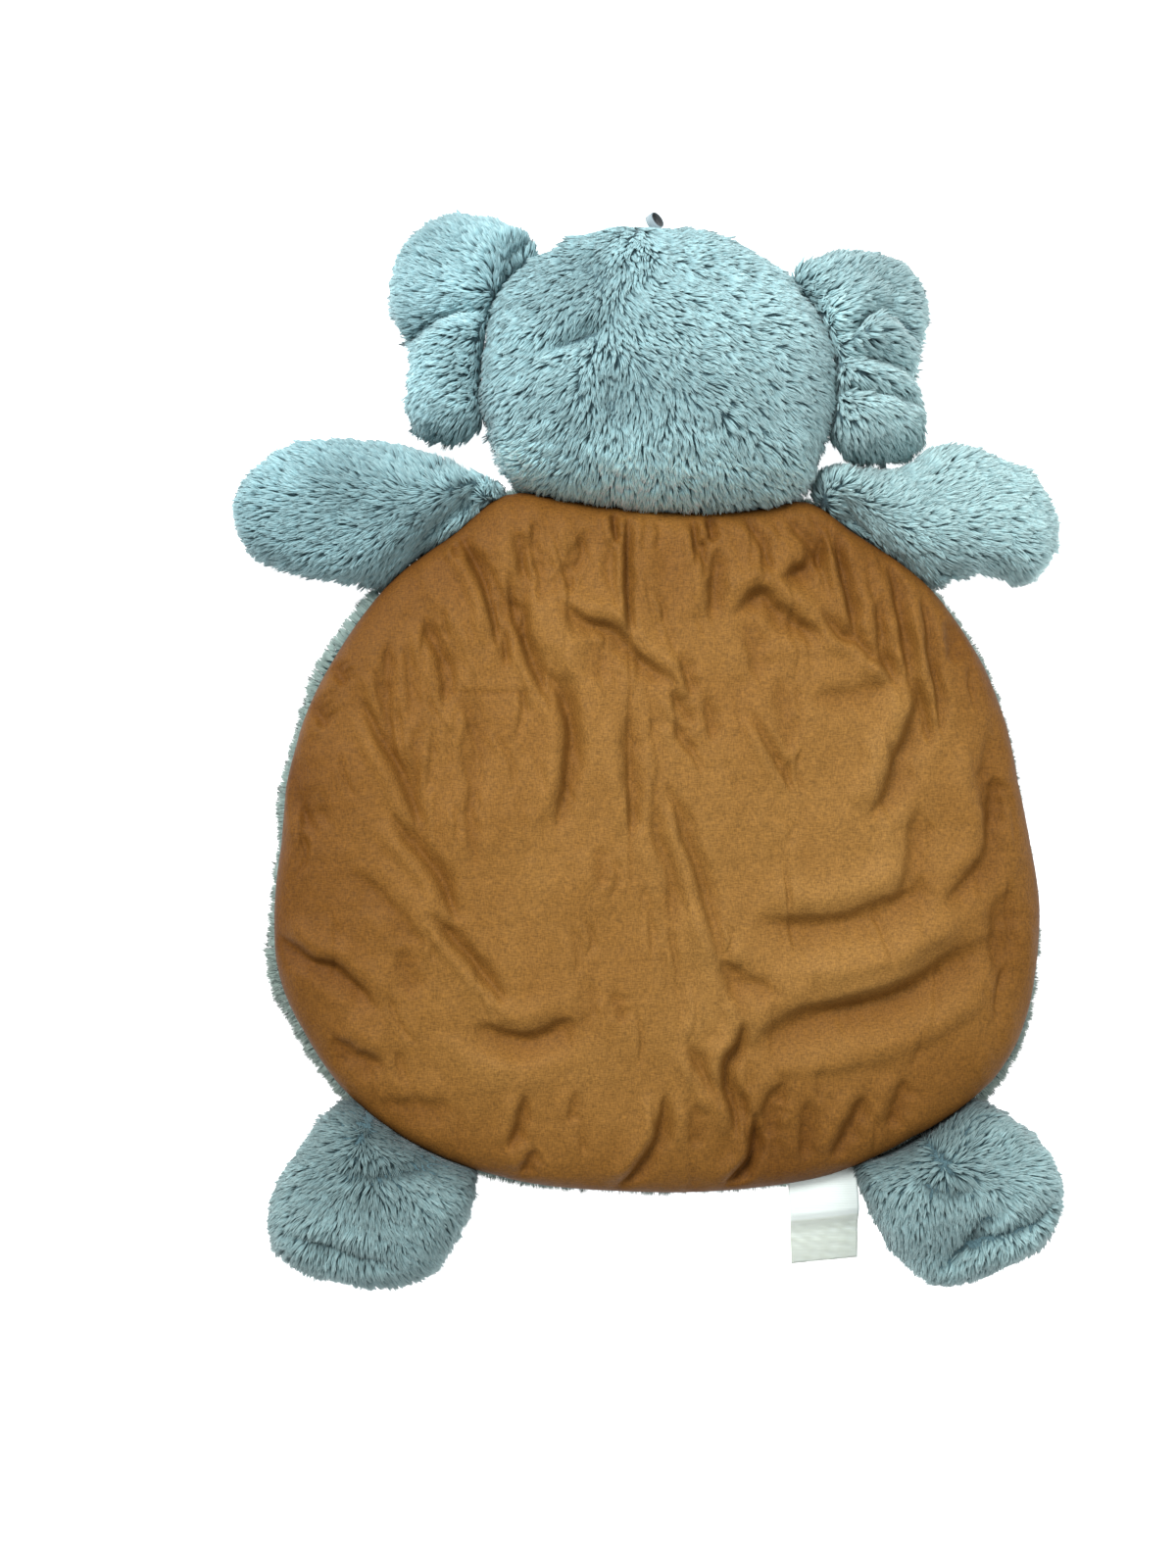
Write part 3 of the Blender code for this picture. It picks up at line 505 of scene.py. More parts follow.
# darker flecks in the yarn, 3 mm apart
fleck = add(cotton, "TexNoise", [("Vector", place, "Object")], in_Scale=330.0, in_Detail=3.0)
fleck_tone = add(cotton, "MapRange", [("Value", fleck, "Fac")], in_1=0.3, in_2=0.5, in_3=0.95,
                 in_4=1.01)
patch = add(cotton, "TexNoise", [("Vector", place, "Object")], in_Scale=9.0, in_Detail=3.0)
tone = add(cotton, "ValToRGB", [("Fac", patch, "Fac")])
tone.color_ramp.elements[0].position, tone.color_ramp.elements[1].position = 0.3, 0.7
tone.color_ramp.elements[0].color = linear("#835A25")
tone.color_ramp.elements[1].color = linear("#8B632D")
thread = add(cotton, "MapRange", [("Value", weave, 0)], in_1=0.7, in_2=1.3, in_3=0.68, in_4=1.32)
yarn = add(cotton, "Math", [(0, thread, 0), (1, fleck_tone, 0)], operation="MULTIPLY")
woven = add(cotton, "MixRGB", [("Color1", tone, "Color"), ("Color2", yarn, 0)],
            blend_type="MULTIPLY", in_Fac=1.0)
relief = add(cotton, "Bump", [("Height", weave, 0)], in_Strength=0.6, in_Distance=0.0005)
join(cotton, with_painted_light_and_shade(cotton, woven), "Color", shader, "Base Color")
join(cotton, relief, "Normal", shader, "Normal")
backing.data.materials.append(cotton)
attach(backing, "root")
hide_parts("body_pad")

# ---- plush head -----------------------------------------------------------------------------
# The back of the head: a round plush bag, stuffed full and sewn to the mat at the neck.
# The knit ground of the fabric carries a long brushed polyester pile, combed outwards from a
# parting down the middle, with its tufts hanging over the neck seam.
PILE_SINK = 5.0            # mm, the ground lies this far below the tips of the pile
VOXEL = 5.5                # mm, size of the ground's faces
JOINT_BLEND = 9.0          # mm over which the ground rises to meet a neighbour
GROUND_LOW = 1.2           # mm, the ground stays this far above the floor
STUFFING_STEPS = 20        # steps of the cloth under pressure
SWELLING = 1.6             # mm, the most that the pressure moves the ground


def points_of(mesh):
    """The vertices of a mesh, in metres."""
    flat = np.empty(len(mesh.vertices) * 3)
    mesh.vertices.foreach_get("co", flat)
    return flat.reshape(-1, 3)


def normals_of(mesh):
    """The normal at each vertex of a mesh."""
    flat = np.empty(len(mesh.vertices) * 3)
    mesh.vertex_normals.foreach_get("vector", flat)
    return flat.reshape(-1, 3)


def apply_all(piece):
    """Replaces the piece's mesh by what its modifiers make of it."""
    bpy.context.view_layer.update()
    done = bpy.data.meshes.new_from_object(
        piece.evaluated_get(bpy.context.evaluated_depsgraph_get()))
    piece.modifiers.clear()
    piece.data = done


def apart_from(spots, nodes):
    """How far each spot (metres) is from the nearest of the CAD nodes' surfaces, in mm."""
    apart = np.full(len(spots), 1e3)
    for node in nodes:
        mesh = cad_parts[node].data
        skin = BVHTree.FromPolygons([v.co for v in mesh.vertices],
                                    [p.vertices for p in mesh.polygons])
        apart = np.minimum(apart, [skin.find_nearest(Vector(p))[3] / MM for p in spots])
    return apart


def stuffed(node, beside, nudge, pressed, grow, sink, taper):
    """The ground of a stuffed plush piece: the solid remeshed, drawn in except where it is
    sewn to a neighbour, blown up as cloth under pressure with the swelling capped, then
    pressed in along its folds. The taper is how much wider it gets towards the head; grow
    lists the places (x, y, radius, mm) where it is fuller."""
    piece = shown(node + "_ground", bpy.data.meshes.new(node + "_ground"))
    bm = welded(node)
    bm.to_mesh(piece.data)
    bm.free()
    remesh = piece.modifiers.new("ground", "REMESH")
    remesh.mode, remesh.voxel_size, remesh.use_smooth_shade = "VOXEL", VOXEL * MM, True
    apply_all(piece)
    mesh = piece.data
    co, no = points_of(mesh), normals_of(mesh)
    drawn_in = np.clip(apart_from(co, beside) / JOINT_BLEND, 0.12, 1.0)
    inner = co - no * (sink * drawn_in)[:, None] * MM
    inner[:, :2] += drawn_in[:, None] * np.array(nudge) * MM
    off = inner - (co.max(axis=0) + co.min(axis=0)) / 2.0
    inner[:, 0] += drawn_in * taper * off[:, 0] * off[:, 1] * 2.0 / np.ptp(co[:, 1])
    for x, y, radius, amount in grow:
        inner += no * (amount * MM * spot(co / MM, x, y, radius))[:, None]
    inner[:, 2] = np.maximum(inner[:, 2], GROUND_LOW * MM)
    mesh.vertices.foreach_set("co", inner.ravel())
    mesh.update()
    cloth = piece.modifiers.new("stuffing", "CLOTH")
    cloth.settings.quality = 4
    cloth.settings.mass = 0.3
    cloth.settings.tension_stiffness = cloth.settings.compression_stiffness = 12.0
    cloth.settings.bending_stiffness = 0.4
    cloth.settings.use_pressure = True
    cloth.settings.uniform_pressure_force = 4.0
    cloth.settings.effector_weights.gravity = 0.0
    for step in range(STUFFING_STEPS):
        bpy.context.scene.frame_set(step + 1)
    blown = piece.evaluated_get(bpy.context.evaluated_depsgraph_get())
    move = points_of(blown.data) - inner
    piece.modifiers.remove(cloth)
    bpy.context.scene.frame_set(1)
    size = np.linalg.norm(move, axis=1)
    move *= (np.minimum(size, SWELLING * MM) / np.maximum(size, 1e-9))[:, None]
    inner = inner + move
    inner[:, 2] = np.maximum(inner[:, 2], GROUND_LOW * MM)
    upper = np.clip(normals_of(mesh)[:, 2] * 2.0, 0.0, 1.0)
    inner[:, 2] += upper * creased(inner[:, :2] / MM, pressed)[0] * MM
    mesh.vertices.foreach_set("co", inner.ravel())
    mesh.update()
    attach(piece, "root")
    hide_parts(node)
    return piece


def combed_heading(points, nap, seed, wander):
    """Heading of the pile in plan, in radians, from the combed headings near each point."""
    nap = np.array(nap, float)
    heading = np.radians(nap[:, 2])
    weight = 1.0 / (np.linalg.norm(points[:, None, :2] - nap[None, :, :2], axis=2) ** 3 + 40.0)
    out = np.arctan2(weight @ np.sin(heading), weight @ np.cos(heading))
    return out + np.radians(wander) * waves(points, 17.0, seed, 7)


ROOT_DEPTH = 0.6           # mm, a lock starts this far inside the ground
BEND_AT = 0.45             # share of its length at which a lock bends
PILE_LOW = 0.7             # mm, the pile stays this far above the floor


def unit(vectors):
    """The vectors with a length of one."""
    return vectors / np.maximum(np.linalg.norm(vectors, axis=1), 1e-6)[:, None]


def tufts(name, ground, count, nap, seed, beside=(), pressed=(), painted_light_patches=(), *, width, wander,
          clump, painted_brightness, length=(10.0, 13.5), rise=(34.0, 7.0), gather=(0.5, 0.9),
          tuck=(7.0, 0.8), under=0.2, loose=None, keep=None):
    """The pile: closed, bent, flat locks that taper both ways, gathered into small tufts, as
    one mesh. They are shorter and lie lower in a fold and along the joint with a neighbour,
    and are painted darker there as painted shade.

    Width and length are in mm. Wander is how far the nap strays, and rise how steeply the
    lower and the upper part of a lock stand, in degrees. A tuft has `clump` locks, drawn
    together by `gather`. Painted_brightness and painted_light_patches say how pale the pile is
    painted for the light and shade on it, and tuck how far (mm) a neighbour holds it
    down and how dark the painted shade is there. `under` thins the pile on the underside,
    `loose` lets it hang and `keep` says where it grows."""
    rng = np.random.default_rng(seed)
    mesh = ground.data
    mesh.calc_loop_triangles()
    tri = np.empty(len(mesh.loop_triangles) * 3, int)
    mesh.loop_triangles.foreach_get("vertices", tri)
    tri = tri.reshape(-1, 3)
    co, no = points_of(mesh) / MM, normals_of(mesh)
    a, b, c = co[tri[:, 0]], co[tri[:, 1]], co[tri[:, 2]]
    area = np.linalg.norm(np.cross(b - a, c - a), axis=1) / 2.0
    facing = no[tri].mean(axis=1)[:, 2]
    area *= np.where(facing < -0.45, under, 1.0)
    if keep is not None:
        area *= keep((a + b + c) / 3.0)
    total = np.cumsum(area)
    pick = np.searchsorted(total, (np.arange(count) + rng.random(count)) / count * total[-1])
    pick = np.minimum(pick, len(tri) - 1)
    u, v = np.sqrt(rng.random(count)), rng.random(count)
    w = np.column_stack([1 - u, u * (1 - v), u * v])[:, :, None]
    root = (co[tri[pick]] * w).sum(axis=1)
    normal = unit((no[tri[pick]] * w).sum(axis=1))

    # how far each lock stands clear of folds and neighbours, 0 to 1
    troughs = [row for row in pressed if row[0] > 0.0]
    close = creased(root[:, :2], troughs)[1] * np.where(normal[:, 2] > 0.1, 1.0, 9.0)
    clear = np.clip(close / 1.1, 0.0, 1.0)
    clear = np.minimum(clear, np.clip((apart_from(root * MM, beside) - 1.0) / tuck[0], 0.0, 1.0))

    heading = combed_heading(root, nap, seed, wander) + np.radians(11.0) * rng.normal(size=count)
    combed = np.column_stack([np.cos(heading), np.sin(heading), np.full(count, -0.35)])
    off = (combed * normal).sum(axis=1)
    held = 0.7 * (1.0 - (0.0 if loose is None else loose(root)))
    lie = unit(combed - normal * np.where(off > 0.0, held * off, off)[:, None])
    lift = 0.7 * waves(root, 13.0, seed + 1, 7) + 0.8 * waves(root, 42.0, seed + 5, 6)
    first = np.radians(rise[0] + 8.0 * lift + 5.0 * rng.normal(size=count))
    second = np.radians(rise[1] + 8.0 * lift + 4.0 * rng.normal(size=count))
    first, second = (first * (0.5 + 0.5 * clear))[:, None], (second * clear)[:, None]
    reach = rng.uniform(*length, count) * (1.0 + 0.16 * waves(root, 12.0, seed + 2))
    reach = (reach * (0.7 + 0.3 * clear))[:, None]
    base = root - normal * ROOT_DEPTH
    bend = base + (normal * np.sin(first) + lie * np.cos(first)) * reach * BEND_AT
    tip = bend + (normal * np.sin(second) + lie * np.cos(second)) * reach * (1.0 - BEND_AT)

    leaders = rng.permutation(count)[:max(1, count // clump)]
    tree = KDTree(len(leaders))
    for i, k in enumerate(leaders):
        tree.insert(root[k], i)
    tree.balance()
    leader = leaders[np.array([tree.find(p)[1] for p in root])]
    pull = rng.uniform(*gather, count)[:, None]
    tip += (tip[leader] - tip) * pull
    bend += (bend[leader] - bend) * pull * 0.75
    for part in (bend, tip, root):
        part[:, 2] = np.maximum(part[:, 2], PILE_LOW)

    base = root - normal * ROOT_DEPTH
    broad = (width * rng.uniform(0.75, 1.2, count))[:, None]
    across = unit(np.cross(tip - base, normal))
    verts = np.stack([base, bend - across * broad / 2, bend + across * broad / 2, tip],
                     axis=1).reshape(-1, 3)
    verts[:, 2] = np.maximum(verts[:, 2], 0.4)
    pattern = np.array([(0, 2, 1), (1, 2, 3), (0, 1, 3), (0, 3, 2)])
    faces = (pattern[None] + 4 * np.arange(count)[:, None, None]).reshape(-1, 3)
    out = bpy.data.meshes.new(name)
    out.vertices.add(len(verts))
    out.vertices.foreach_set("co", (verts * MM).ravel())
    out.loops.add(faces.size)
    out.loops.foreach_set("vertex_index", faces.ravel())
    out.polygons.add(len(faces))
    out.polygons.foreach_set("loop_start", np.arange(0, faces.size, 3))
    out.update(calc_edges=True)
    out.shade_smooth()
    # a lock is lit as the coat round it is, and a little rounder across
    lit = np.stack([normal, normal * 0.75 - across * 0.7, normal * 0.75 + across * 0.7,
                    normal + lie * 0.35], axis=1).reshape(-1, 3)
    out.normals_split_custom_set_from_vertices(unit(lit).tolist())
    # its colour: how far along the lock, how pale the lock is, and how pale the coat is painted
    # there, which is painted light and shade
    along = np.tile(np.array([0.0, 0.55, 0.55, 1.0]), count)
    mixed = np.repeat((rng.random(count) + rng.random(count)[leader]) / 2.0, 4)
    # painted shade: the pile is painted darker in the folds and along the joints, and the patches
    # paint light and shade
    tone = painted_brightness * (tuck[1] + (1.0 - tuck[1]) * clear)
    for x, y, radius, amount in painted_light_patches:
        tone *= 1.0 + amount * spot(root, x, y, radius)
    painted(out, "lock", along, mixed, np.repeat(tone, 4))
    piece = shown(name, out)
    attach(piece, "root")
    return piece


# Brushed polyester pile: fine matt fibres. Each lock is painted from dark at the root to pale at
# the tip, as painted shade between the tufts and painted light on the tips.
pile_finish, shader = finish("grey_blue_polyester_pile", 0.85, 0.2, 0.08)
lock = add(pile_finish, "Attribute", attribute_name="lock")
part = add(pile_finish, "SeparateColor", [("Color", lock, "Color")])
depth = add(pile_finish, "ValToRGB", [("Fac", part, "Red")])
# painted shade at the root of each lock
depth.color_ramp.elements[0].color = linear("#14242A")
depth.color_ramp.elements[1].color = linear("#C8EAEF")
depth.color_ramp.elements.new(0.6).color = linear("#9DC1C8")
spread = add(pile_finish, "MapRange", [("Value", part, "Green")], in_3=0.68, in_4=1.22)
tint = add(pile_finish, "Math", [(0, spread, 0), (1, part, "Blue")], operation="MULTIPLY")
coat = add(pile_finish, "MixRGB", [("Color1", depth, "Color"), ("Color2", tint, 0)],
           blend_type="MULTIPLY", use_clamp=True, in_Fac=1.0)
# painted light: the pile is painted a little cooler towards the left ear and warmer towards the
# right foot, for the colour of the light there
place = add(pile_finish, "TexCoord")
level = add(pile_finish, "SeparateXYZ", [(0, place, "Object")])
slant = add(pile_finish, "Math", [(0, level, "Y"), (1, level, "X")], operation="SUBTRACT")
cool = add(pile_finish, "MapRange", [("Value", slant, 0)], in_1=0.05, in_2=0.5)
painted_light_tint = add(pile_finish, "MixRGB", [("Fac", cool, 0)], in_Color1=linear("#FFFDF8"),
           in_Color2=linear("#F4FEFF"))
coat_in_painted_light = add(pile_finish, "MixRGB", [("Color1", coat, "Color"), ("Color2", painted_light_tint, "Color")],
           blend_type="MULTIPLY", in_Fac=1.0)
join(pile_finish, coat_in_painted_light, "Color", shader, "Base Color")

# Weft-knitted polyester ground under the pile, matt, with the stubs of the fibres. It is painted
# darker than the pile, as painted shade where it shows between the tufts.
ground_finish, shader = finish("knitted_plush_ground", 0.9, 0.2, 0.2)
place = add(ground_finish, "TexCoord")
# fibre stubs 1.2 mm apart: a noise has one lump about every 1 / scale metres
stubs = add(ground_finish, "TexNoise", [("Vector", place, "Object")], in_Scale=800.0,
            in_Detail=2.0)
knit = add(ground_finish, "ValToRGB", [("Fac", stubs, "Fac")])
knit.color_ramp.elements[0].position, knit.color_ramp.elements[1].position = 0.3, 0.75
knit.color_ramp.elements[0].color = linear("#3C555C")
knit.color_ramp.elements[1].color = linear("#5F7E85")
relief = add(ground_finish, "Bump", [("Height", stubs, "Fac")], in_Strength=0.8,
             in_Distance=0.001)
join(ground_finish, knit, "Color", shader, "Base Color")
join(ground_finish, relief, "Normal", shader, "Normal")


def plush_bag(node, nap, pressed, grow, painted_light_spots, nudge, seed, painted_brightness, *, count, beside, joined,
              fill=0.85, sink=PILE_SINK, taper=0.0, **coat_settings):
    """A stuffed plush piece for the CAD node, moved by `nudge` (mm): its ground, which meets
    the nodes `beside` it, and its pile, which is held down where they are `joined`."""
    ground = stuffed(node, beside, nudge, pressed, grow, sink, taper)
    ground.data.materials.append(ground_finish)
    pile = tufts(node + "_pile", ground, count, nap, seed, joined, pressed, painted_light_spots, painted_brightness=painted_brightness,
                 **coat_settings)
    pile.data.materials.append(pile_finish)


def hanging(spots):
    """How freely the pile hangs over the neck seam."""
    return np.clip((205.0 - spots[:, 1]) / 50.0, 0.0, 0.35)


HEAD = dict(
    # x, y (mm), heading of the pile (degrees, 0 = +X, anticlockwise)
    nap=[
        (-85, 320, 215), (-100, 268, 218), (-104, 212, 188), (-72, 215, 215), (-61, 262, 222),
        (-44, 323, 232), (-72, 354, 200), (-37, 361, 208), (-3, 316, 328), (-3, 275, 320),
        (-27, 262, 270), (-17, 227, 262), (38, 317, 338), (73, 296, 338), (38, 262, 335),
        (81, 249, 322), (11, 230, 275), (46, 214, 300), (88, 203, 320), (-44, 188, 255),
        (-72, 181, 245), (-10, 182, 268), (38, 182, 290), (98, 184, 315), (53, 359, 350),
        (11, 364, 335), (94, 319, 345), (117, 254, 330), (-13, 360, 264), (-14, 338, 268),
    ],
    # folds and bulges, laid out as the wrinkles of the backing are
    pressed=[
        (4.5, 6.0, ((-34, 298), (-46, 290), (-66, 283))), (3.0, 12.0, ((-30, 330), (-40, 344))),
        (2.5, 9.0, ((-28, 262), (-24, 232))),
    ],
    # x, y, radius (mm), how much fuller it is there (mm)
    grow=[
        (-82, 362, 14, 3), (-60, 370, 14, 2.5), (-14, 376, 20, 1.5), (82, 366, 18, 2.5),
        (100, 348, 12, 3), (-112, 200, 20, -1),
    ],
    # x, y, radius (mm), how much paler the pile is painted there: painted light and shade
    painted_light_spots=[
        (-48, 352, 24, -0.2), (-75, 325, 30, -0.2), (-42, 312, 30, -0.26), (85, 330, 55, 0.16),
        (-70, 248, 24, -0.18), (-14, 245, 26, -0.27), (32, 245, 26, -0.25), (76, 242, 28, -0.18),
        (-28, 190, 36, 0.75), (32, 189, 42, 0.65), (98, 201, 30, 0.45), (-92, 204, 26, 0.7),
        (-70, 300, 30, 0.08), (100, 315, 40, 0.1),
    ],
    # painted_brightness is how bright the pile of the piece is painted, which is painted light
    # and shade
    nudge=(0.0, 3.0), seed=11, painted_brightness=0.92,
)
EARS = ("ear_left", "ear_right")
plush_bag("head", **HEAD, count=49500, beside=EARS, joined=EARS, sink=4.4, width=1.0,
          length=(9.5, 12.5), wander=19.0, clump=5, loose=hanging)

# ---- plush ears -----------------------------------------------------------------------------
# Two flat ears, lightly filled and folded forward on themselves, each gathered into its side
# of the head, so that the pile fans out from the gather. Their values are laid out as the
# head's are.
EAR_LEFT = dict(
    nap=[
        (-98, 342, 130), (-130, 352, 155), (-158, 352, 150), (-94, 366, 95), (-122, 372, 130),
        (-179, 331, 175), (-144, 324, 180), (-115, 316, 190), (-165, 302, 190), (-130, 295, 190),
        (-172, 274, 205), (-137, 259, 205), (-165, 245, 225), (-137, 231, 238),
    ],
    pressed=[
        (4.8, 6.0, ((-112, 322), (-135, 319), (-160, 312), (-186, 300))),
        (5.0, 6.0, ((-86, 366), (-101, 352), (-108, 338))),
        (-3.5, 9.0, ((-118, 306), (-142, 303), (-168, 292))),
    ],
    grow=[
        (-88, 366, 12, 3), (-132, 230, 12, 2), (-96, 318, 14, 2), (-102, 252, 14, 2),
        (-112, 386, 14, 2.5), (-186, 325, 18, 3),
    ],
    painted_light_spots=[
        (-128, 322, 18, 0.35), (-153, 378, 28, -0.2), (-178, 312, 18, -0.3), (-172, 282, 24, 0.5),
        (-153, 229, 18, -0.25),
    ],
    nudge=(-0.6, 3.2), seed=21, painted_brightness=0.82,
)
EAR_RIGHT = dict(
    nap=[
        (107, 338, 30), (134, 348, 45), (156, 345, 35), (120, 331, 30), (148, 316, 10),
        (184, 316, 5), (156, 288, -15), (191, 281, -20), (148, 259, -35), (184, 245, -40),
        (156, 224, -60), (191, 224, -55), (127, 274, -40),
    ],
    pressed=[
        (8.0, 5.0, ((143, 297), (154, 311), (165, 319), (181, 313), (200, 302))),
        (-5.0, 8.0, ((126, 306), (146, 319), (168, 332))), (-4.0, 9.0, ((160, 300), (180, 297))),
        (6.0, 5.5, ((199, 279), (172, 286), (136, 286))),
        (-4.0, 8.0, ((196, 268), (160, 274), (134, 275))),
        (5.0, 5.5, ((204, 259), (173, 263), (132, 266))),
        (4.0, 5.0, ((118, 330), (124, 300), (130, 270))),
    ],
    grow=[
        (114, 356, 10, -2), (186, 352, 20, 2.5), (150, 220, 16, 7), (204, 269, 10, -2.5),
        (204, 233, 14, 2.5),
    ],
    painted_light_spots=[
        (165, 355, 26, -0.2), (128, 310, 14, 0.45), (141, 374, 16, 0.25), (170, 246, 14, 0.3),
        (186, 272, 26, 0.28), (158, 228, 20, -0.22),
    ],
    nudge=(1.6, 3.6), seed=31, painted_brightness=0.9,
)
for node, ear in zip(EARS, (EAR_LEFT, EAR_RIGHT)):
    plush_bag(node, **ear, count=18500, beside=("head",), joined=("head",), fill=0.5,
              width=0.98, wander=11.0, clump=6, gather=(0.55, 0.95))

# ---- plush arms -----------------------------------------------------------------------------
# Two short stuffed arms in the same plush, sewn into the mat's edge seam. The pile is combed
# from the seam out to the paw.
ARM_LEFT = dict(
    nap=[
        (-293, 176, 180), (-267, 202, 152), (-215, 212, 145), (-175, 202, 128), (-143, 199, 115),
        (-117, 190, 105), (-215, 176, 180), (-267, 163, 188), (-241, 150, 195), (-273, 139, 205),
        (-241, 129, 212), (-199, 134, 230), (-188, 117, 235), (-175, 155, 200), (-143, 169, 215),
        (-162, 176, 190), (-162, 144, 235), (-112, 197, 250), (-128, 182, 245), (-145, 166, 240),
    ],
    pressed=[
        (4.0, 5.0, ((-118, 199), (-136, 184), (-156, 168), (-172, 150))),
        (-4.5, 7.0, ((-112, 188), (-130, 174), (-150, 158), (-164, 142))),
    ],
    grow=[(-110, 201, 15, 6), (-205, 118, 14, -3)],
    painted_light_spots=[
        (-114, 195, 12, 0.5), (-130, 180, 12, 0.5), (-147, 164, 12, 0.4), (-252, 196, 40, 0.16),
        (-212, 145, 26, 0.15), (-170, 182, 20, -0.1), (-218, 188, 30, -0.34),
        (-278, 148, 22, -0.2),
    ],
    nudge=(-0.2, 2.2), seed=41, painted_brightness=0.71,
)
ARM_RIGHT = dict(
    nap=[
        (152, 202, 45), (170, 187, 35), (201, 178, 24), (237, 181, 18), (261, 198, 3),
        (225, 208, 12), (279, 184, -2), (285, 160, -12), (249, 154, -5), (201, 154, -12),
        (219, 140, -12), (261, 130, -45), (207, 130, -50), (183, 150, -30), (165, 162, 5),
        (146, 169, -38), (189, 137, -42), (128, 190, 45),
    ],
    pressed=[
        (8.0, 6.0, ((190, 139), (174, 152), (158, 168), (143, 186))),
        (-4.0, 6.0, ((180, 134), (164, 146), (146, 164))),
    ],
    grow=[
        (131, 198, 15, 7), (220, 118, 14, -5), (238, 216, 22, 2), (288, 205, 16, 2),
        (280, 128, 14, 2.5),
    ],
    painted_light_spots=[
        (265, 185, 40, 0.12), (158, 208, 20, -0.25), (182, 134, 12, 0.12), (160, 158, 12, 0.15),
        (143, 178, 12, 0.1), (215, 135, 22, -0.16), (262, 135, 16, -0.14), (198, 187, 22, -0.12),
    ],
    nudge=(0.6, 1.8), seed=51, painted_brightness=1.0,
)
for node, arm in (("arm_left", ARM_LEFT), ("arm_right", ARM_RIGHT)):
    plush_bag(node, **arm, count=21000, beside=("body_pad",), joined=(), width=1.0, wander=13.0,
              clump=5)

# ---- plush feet -----------------------------------------------------------------------------
# Two round stuffed feet, the fullest parts after the head, sewn into the same seam. Their pile
# is pressed flat towards it and painted dark there, as painted shade in the joint.
FOOT_LEFT = dict(
    nap=[
        (-229, -261, 165), (-236, -279, 180), (-247, -292, 195), (-212, -270, 190),
        (-199, -274, 330), (-178, -290, 300), (-258, -310, 205), (-263, -334, 225),
        (-226, -308, 215), (-231, -334, 238), (-205, -318, 250), (-205, -345, 262),
        (-188, -318, 290), (-188, -345, 285), (-162, -308, 305), (-146, -318, 310),
        (-146, -345, 295), (-162, -366, 295), (-270, -359, 222), (-252, -372, 245),
        (-220, -380, 265), (-194, -385, 300), (-167, -382, 310),
    ],
    pressed=[
        (4.0, 5.0, ((-190, -365), (-207, -362), (-222, -357), (-253, -349))),
        (3.0, 5.0, ((-150, -303), (-186, -306), (-222, -302))),
    ],
    grow=[(-262, -298, 20, 3.5), (-138, -352, 20, 2.5)],
    painted_light_spots=[
        (-162, -293, 14, -0.25), (-195, -275, 38, -0.3), (-190, -320, 22, -0.1),
        (-230, -290, 28, -0.2), (-222, -362, 28, 0.2),
    ],
    nudge=(-0.4, 2.8), seed=61, painted_brightness=0.66,
)
FOOT_RIGHT = dict(
    nap=[
        (244, -257, 20), (260, -269, -10), (280, -285, -20), (254, -290, 50), (270, -297, 12),
        (285, -311, -18), (296, -322, -28), (275, -326, -45), (285, -340, -50), (249, -306, 0),
        (218, -285, 60), (198, -300, 220), (182, -306, 225), (167, -331, 262), (187, -336, 268),
        (213, -336, 275), (239, -326, 285), (254, -342, 290), (177, -357, 275), (203, -367, 268),
        (229, -367, 262), (260, -357, 270), (275, -352, 290), (239, -381, 272),
    ],
    pressed=[
        (6.0, 5.0, ((212, -377), (229, -362), (245, -353), (275, -343), (290, -329))),
        (3.0, 5.0, ((232, -312), (216, -317), (198, -311))),
        (2.5, 5.0, ((248, -333), (240, -337), (229, -353))),
    ],
    grow=[(292, -300, 20, 4), (158, -318, 16, 3), (188, -378, 18, -3)],
    painted_light_spots=[
        (272, -290, 14, -0.2), (225, -295, 34, -0.2), (210, -335, 22, -0.1),
        (252, -336, 20, 0.25), (197, -358, 24, 0.16), (285, -310, 32, 0.2),
    ],
    nudge=(-0.2, 3.0), seed=71, painted_brightness=0.74,
)
for node, foot in (("foot_left", FOOT_LEFT), ("foot_right", FOOT_RIGHT)):
    plush_bag(node, **foot, count=21000, beside=("body_pad",), joined=("body_pad",), sink=4.4,
              taper=0.045, length=(10.0, 13.0), width=1.0, wander=14.0, clump=5,
              tuck=(32.0, 0.26))

# ---- plush front panel and its rim ----------------------------------------------------------
# The mat's face is one panel of the same plush, lying pile down. It is cut larger than the
# backing, so its pile shows as a soft rim that stands out past the brown edge.
RIM_REACH = [  # bearing (degrees), how far the pile stands out past the backing there (mm)
    (-180, 7), (-170, 7), (-161, 13.5), (-150, 11.5), (-143, 11), (-135, 14), (-118, 9), (-95, 5),
    (-75, 6), (-60, 9), (-48, 14), (-35, 14), (-22, 8.5), (-10, 5), (0, 4), (13, 7), (20, 7),
    (35, 7.5), (50, 8), (120, 9), (140, 11.5), (152, 14), (160, 8.5), (166, 8), (171, 11),
    (176, 9), (180, 7),
]
RIM_PILE = 8.0             # mm of the reach that is loose pile
FRONT_ROWS = [  # mm out from the front panel's seam, mm above the floor
    (-9.0, 1.0), (-2.0, 1.6), (0.0, 5.5), (-1.5, 9.5), (-5.0, 11.6), (-12.0, 11.8),
]


def front_edge(loop):
    """The seam of the front panel, from the seam of the backing."""
    reach = np.interp(bearing_of(loop), *np.array(RIM_REACH, float).T)
    return loop + outward(loop) * (reach - RIM_PILE)[:, None]


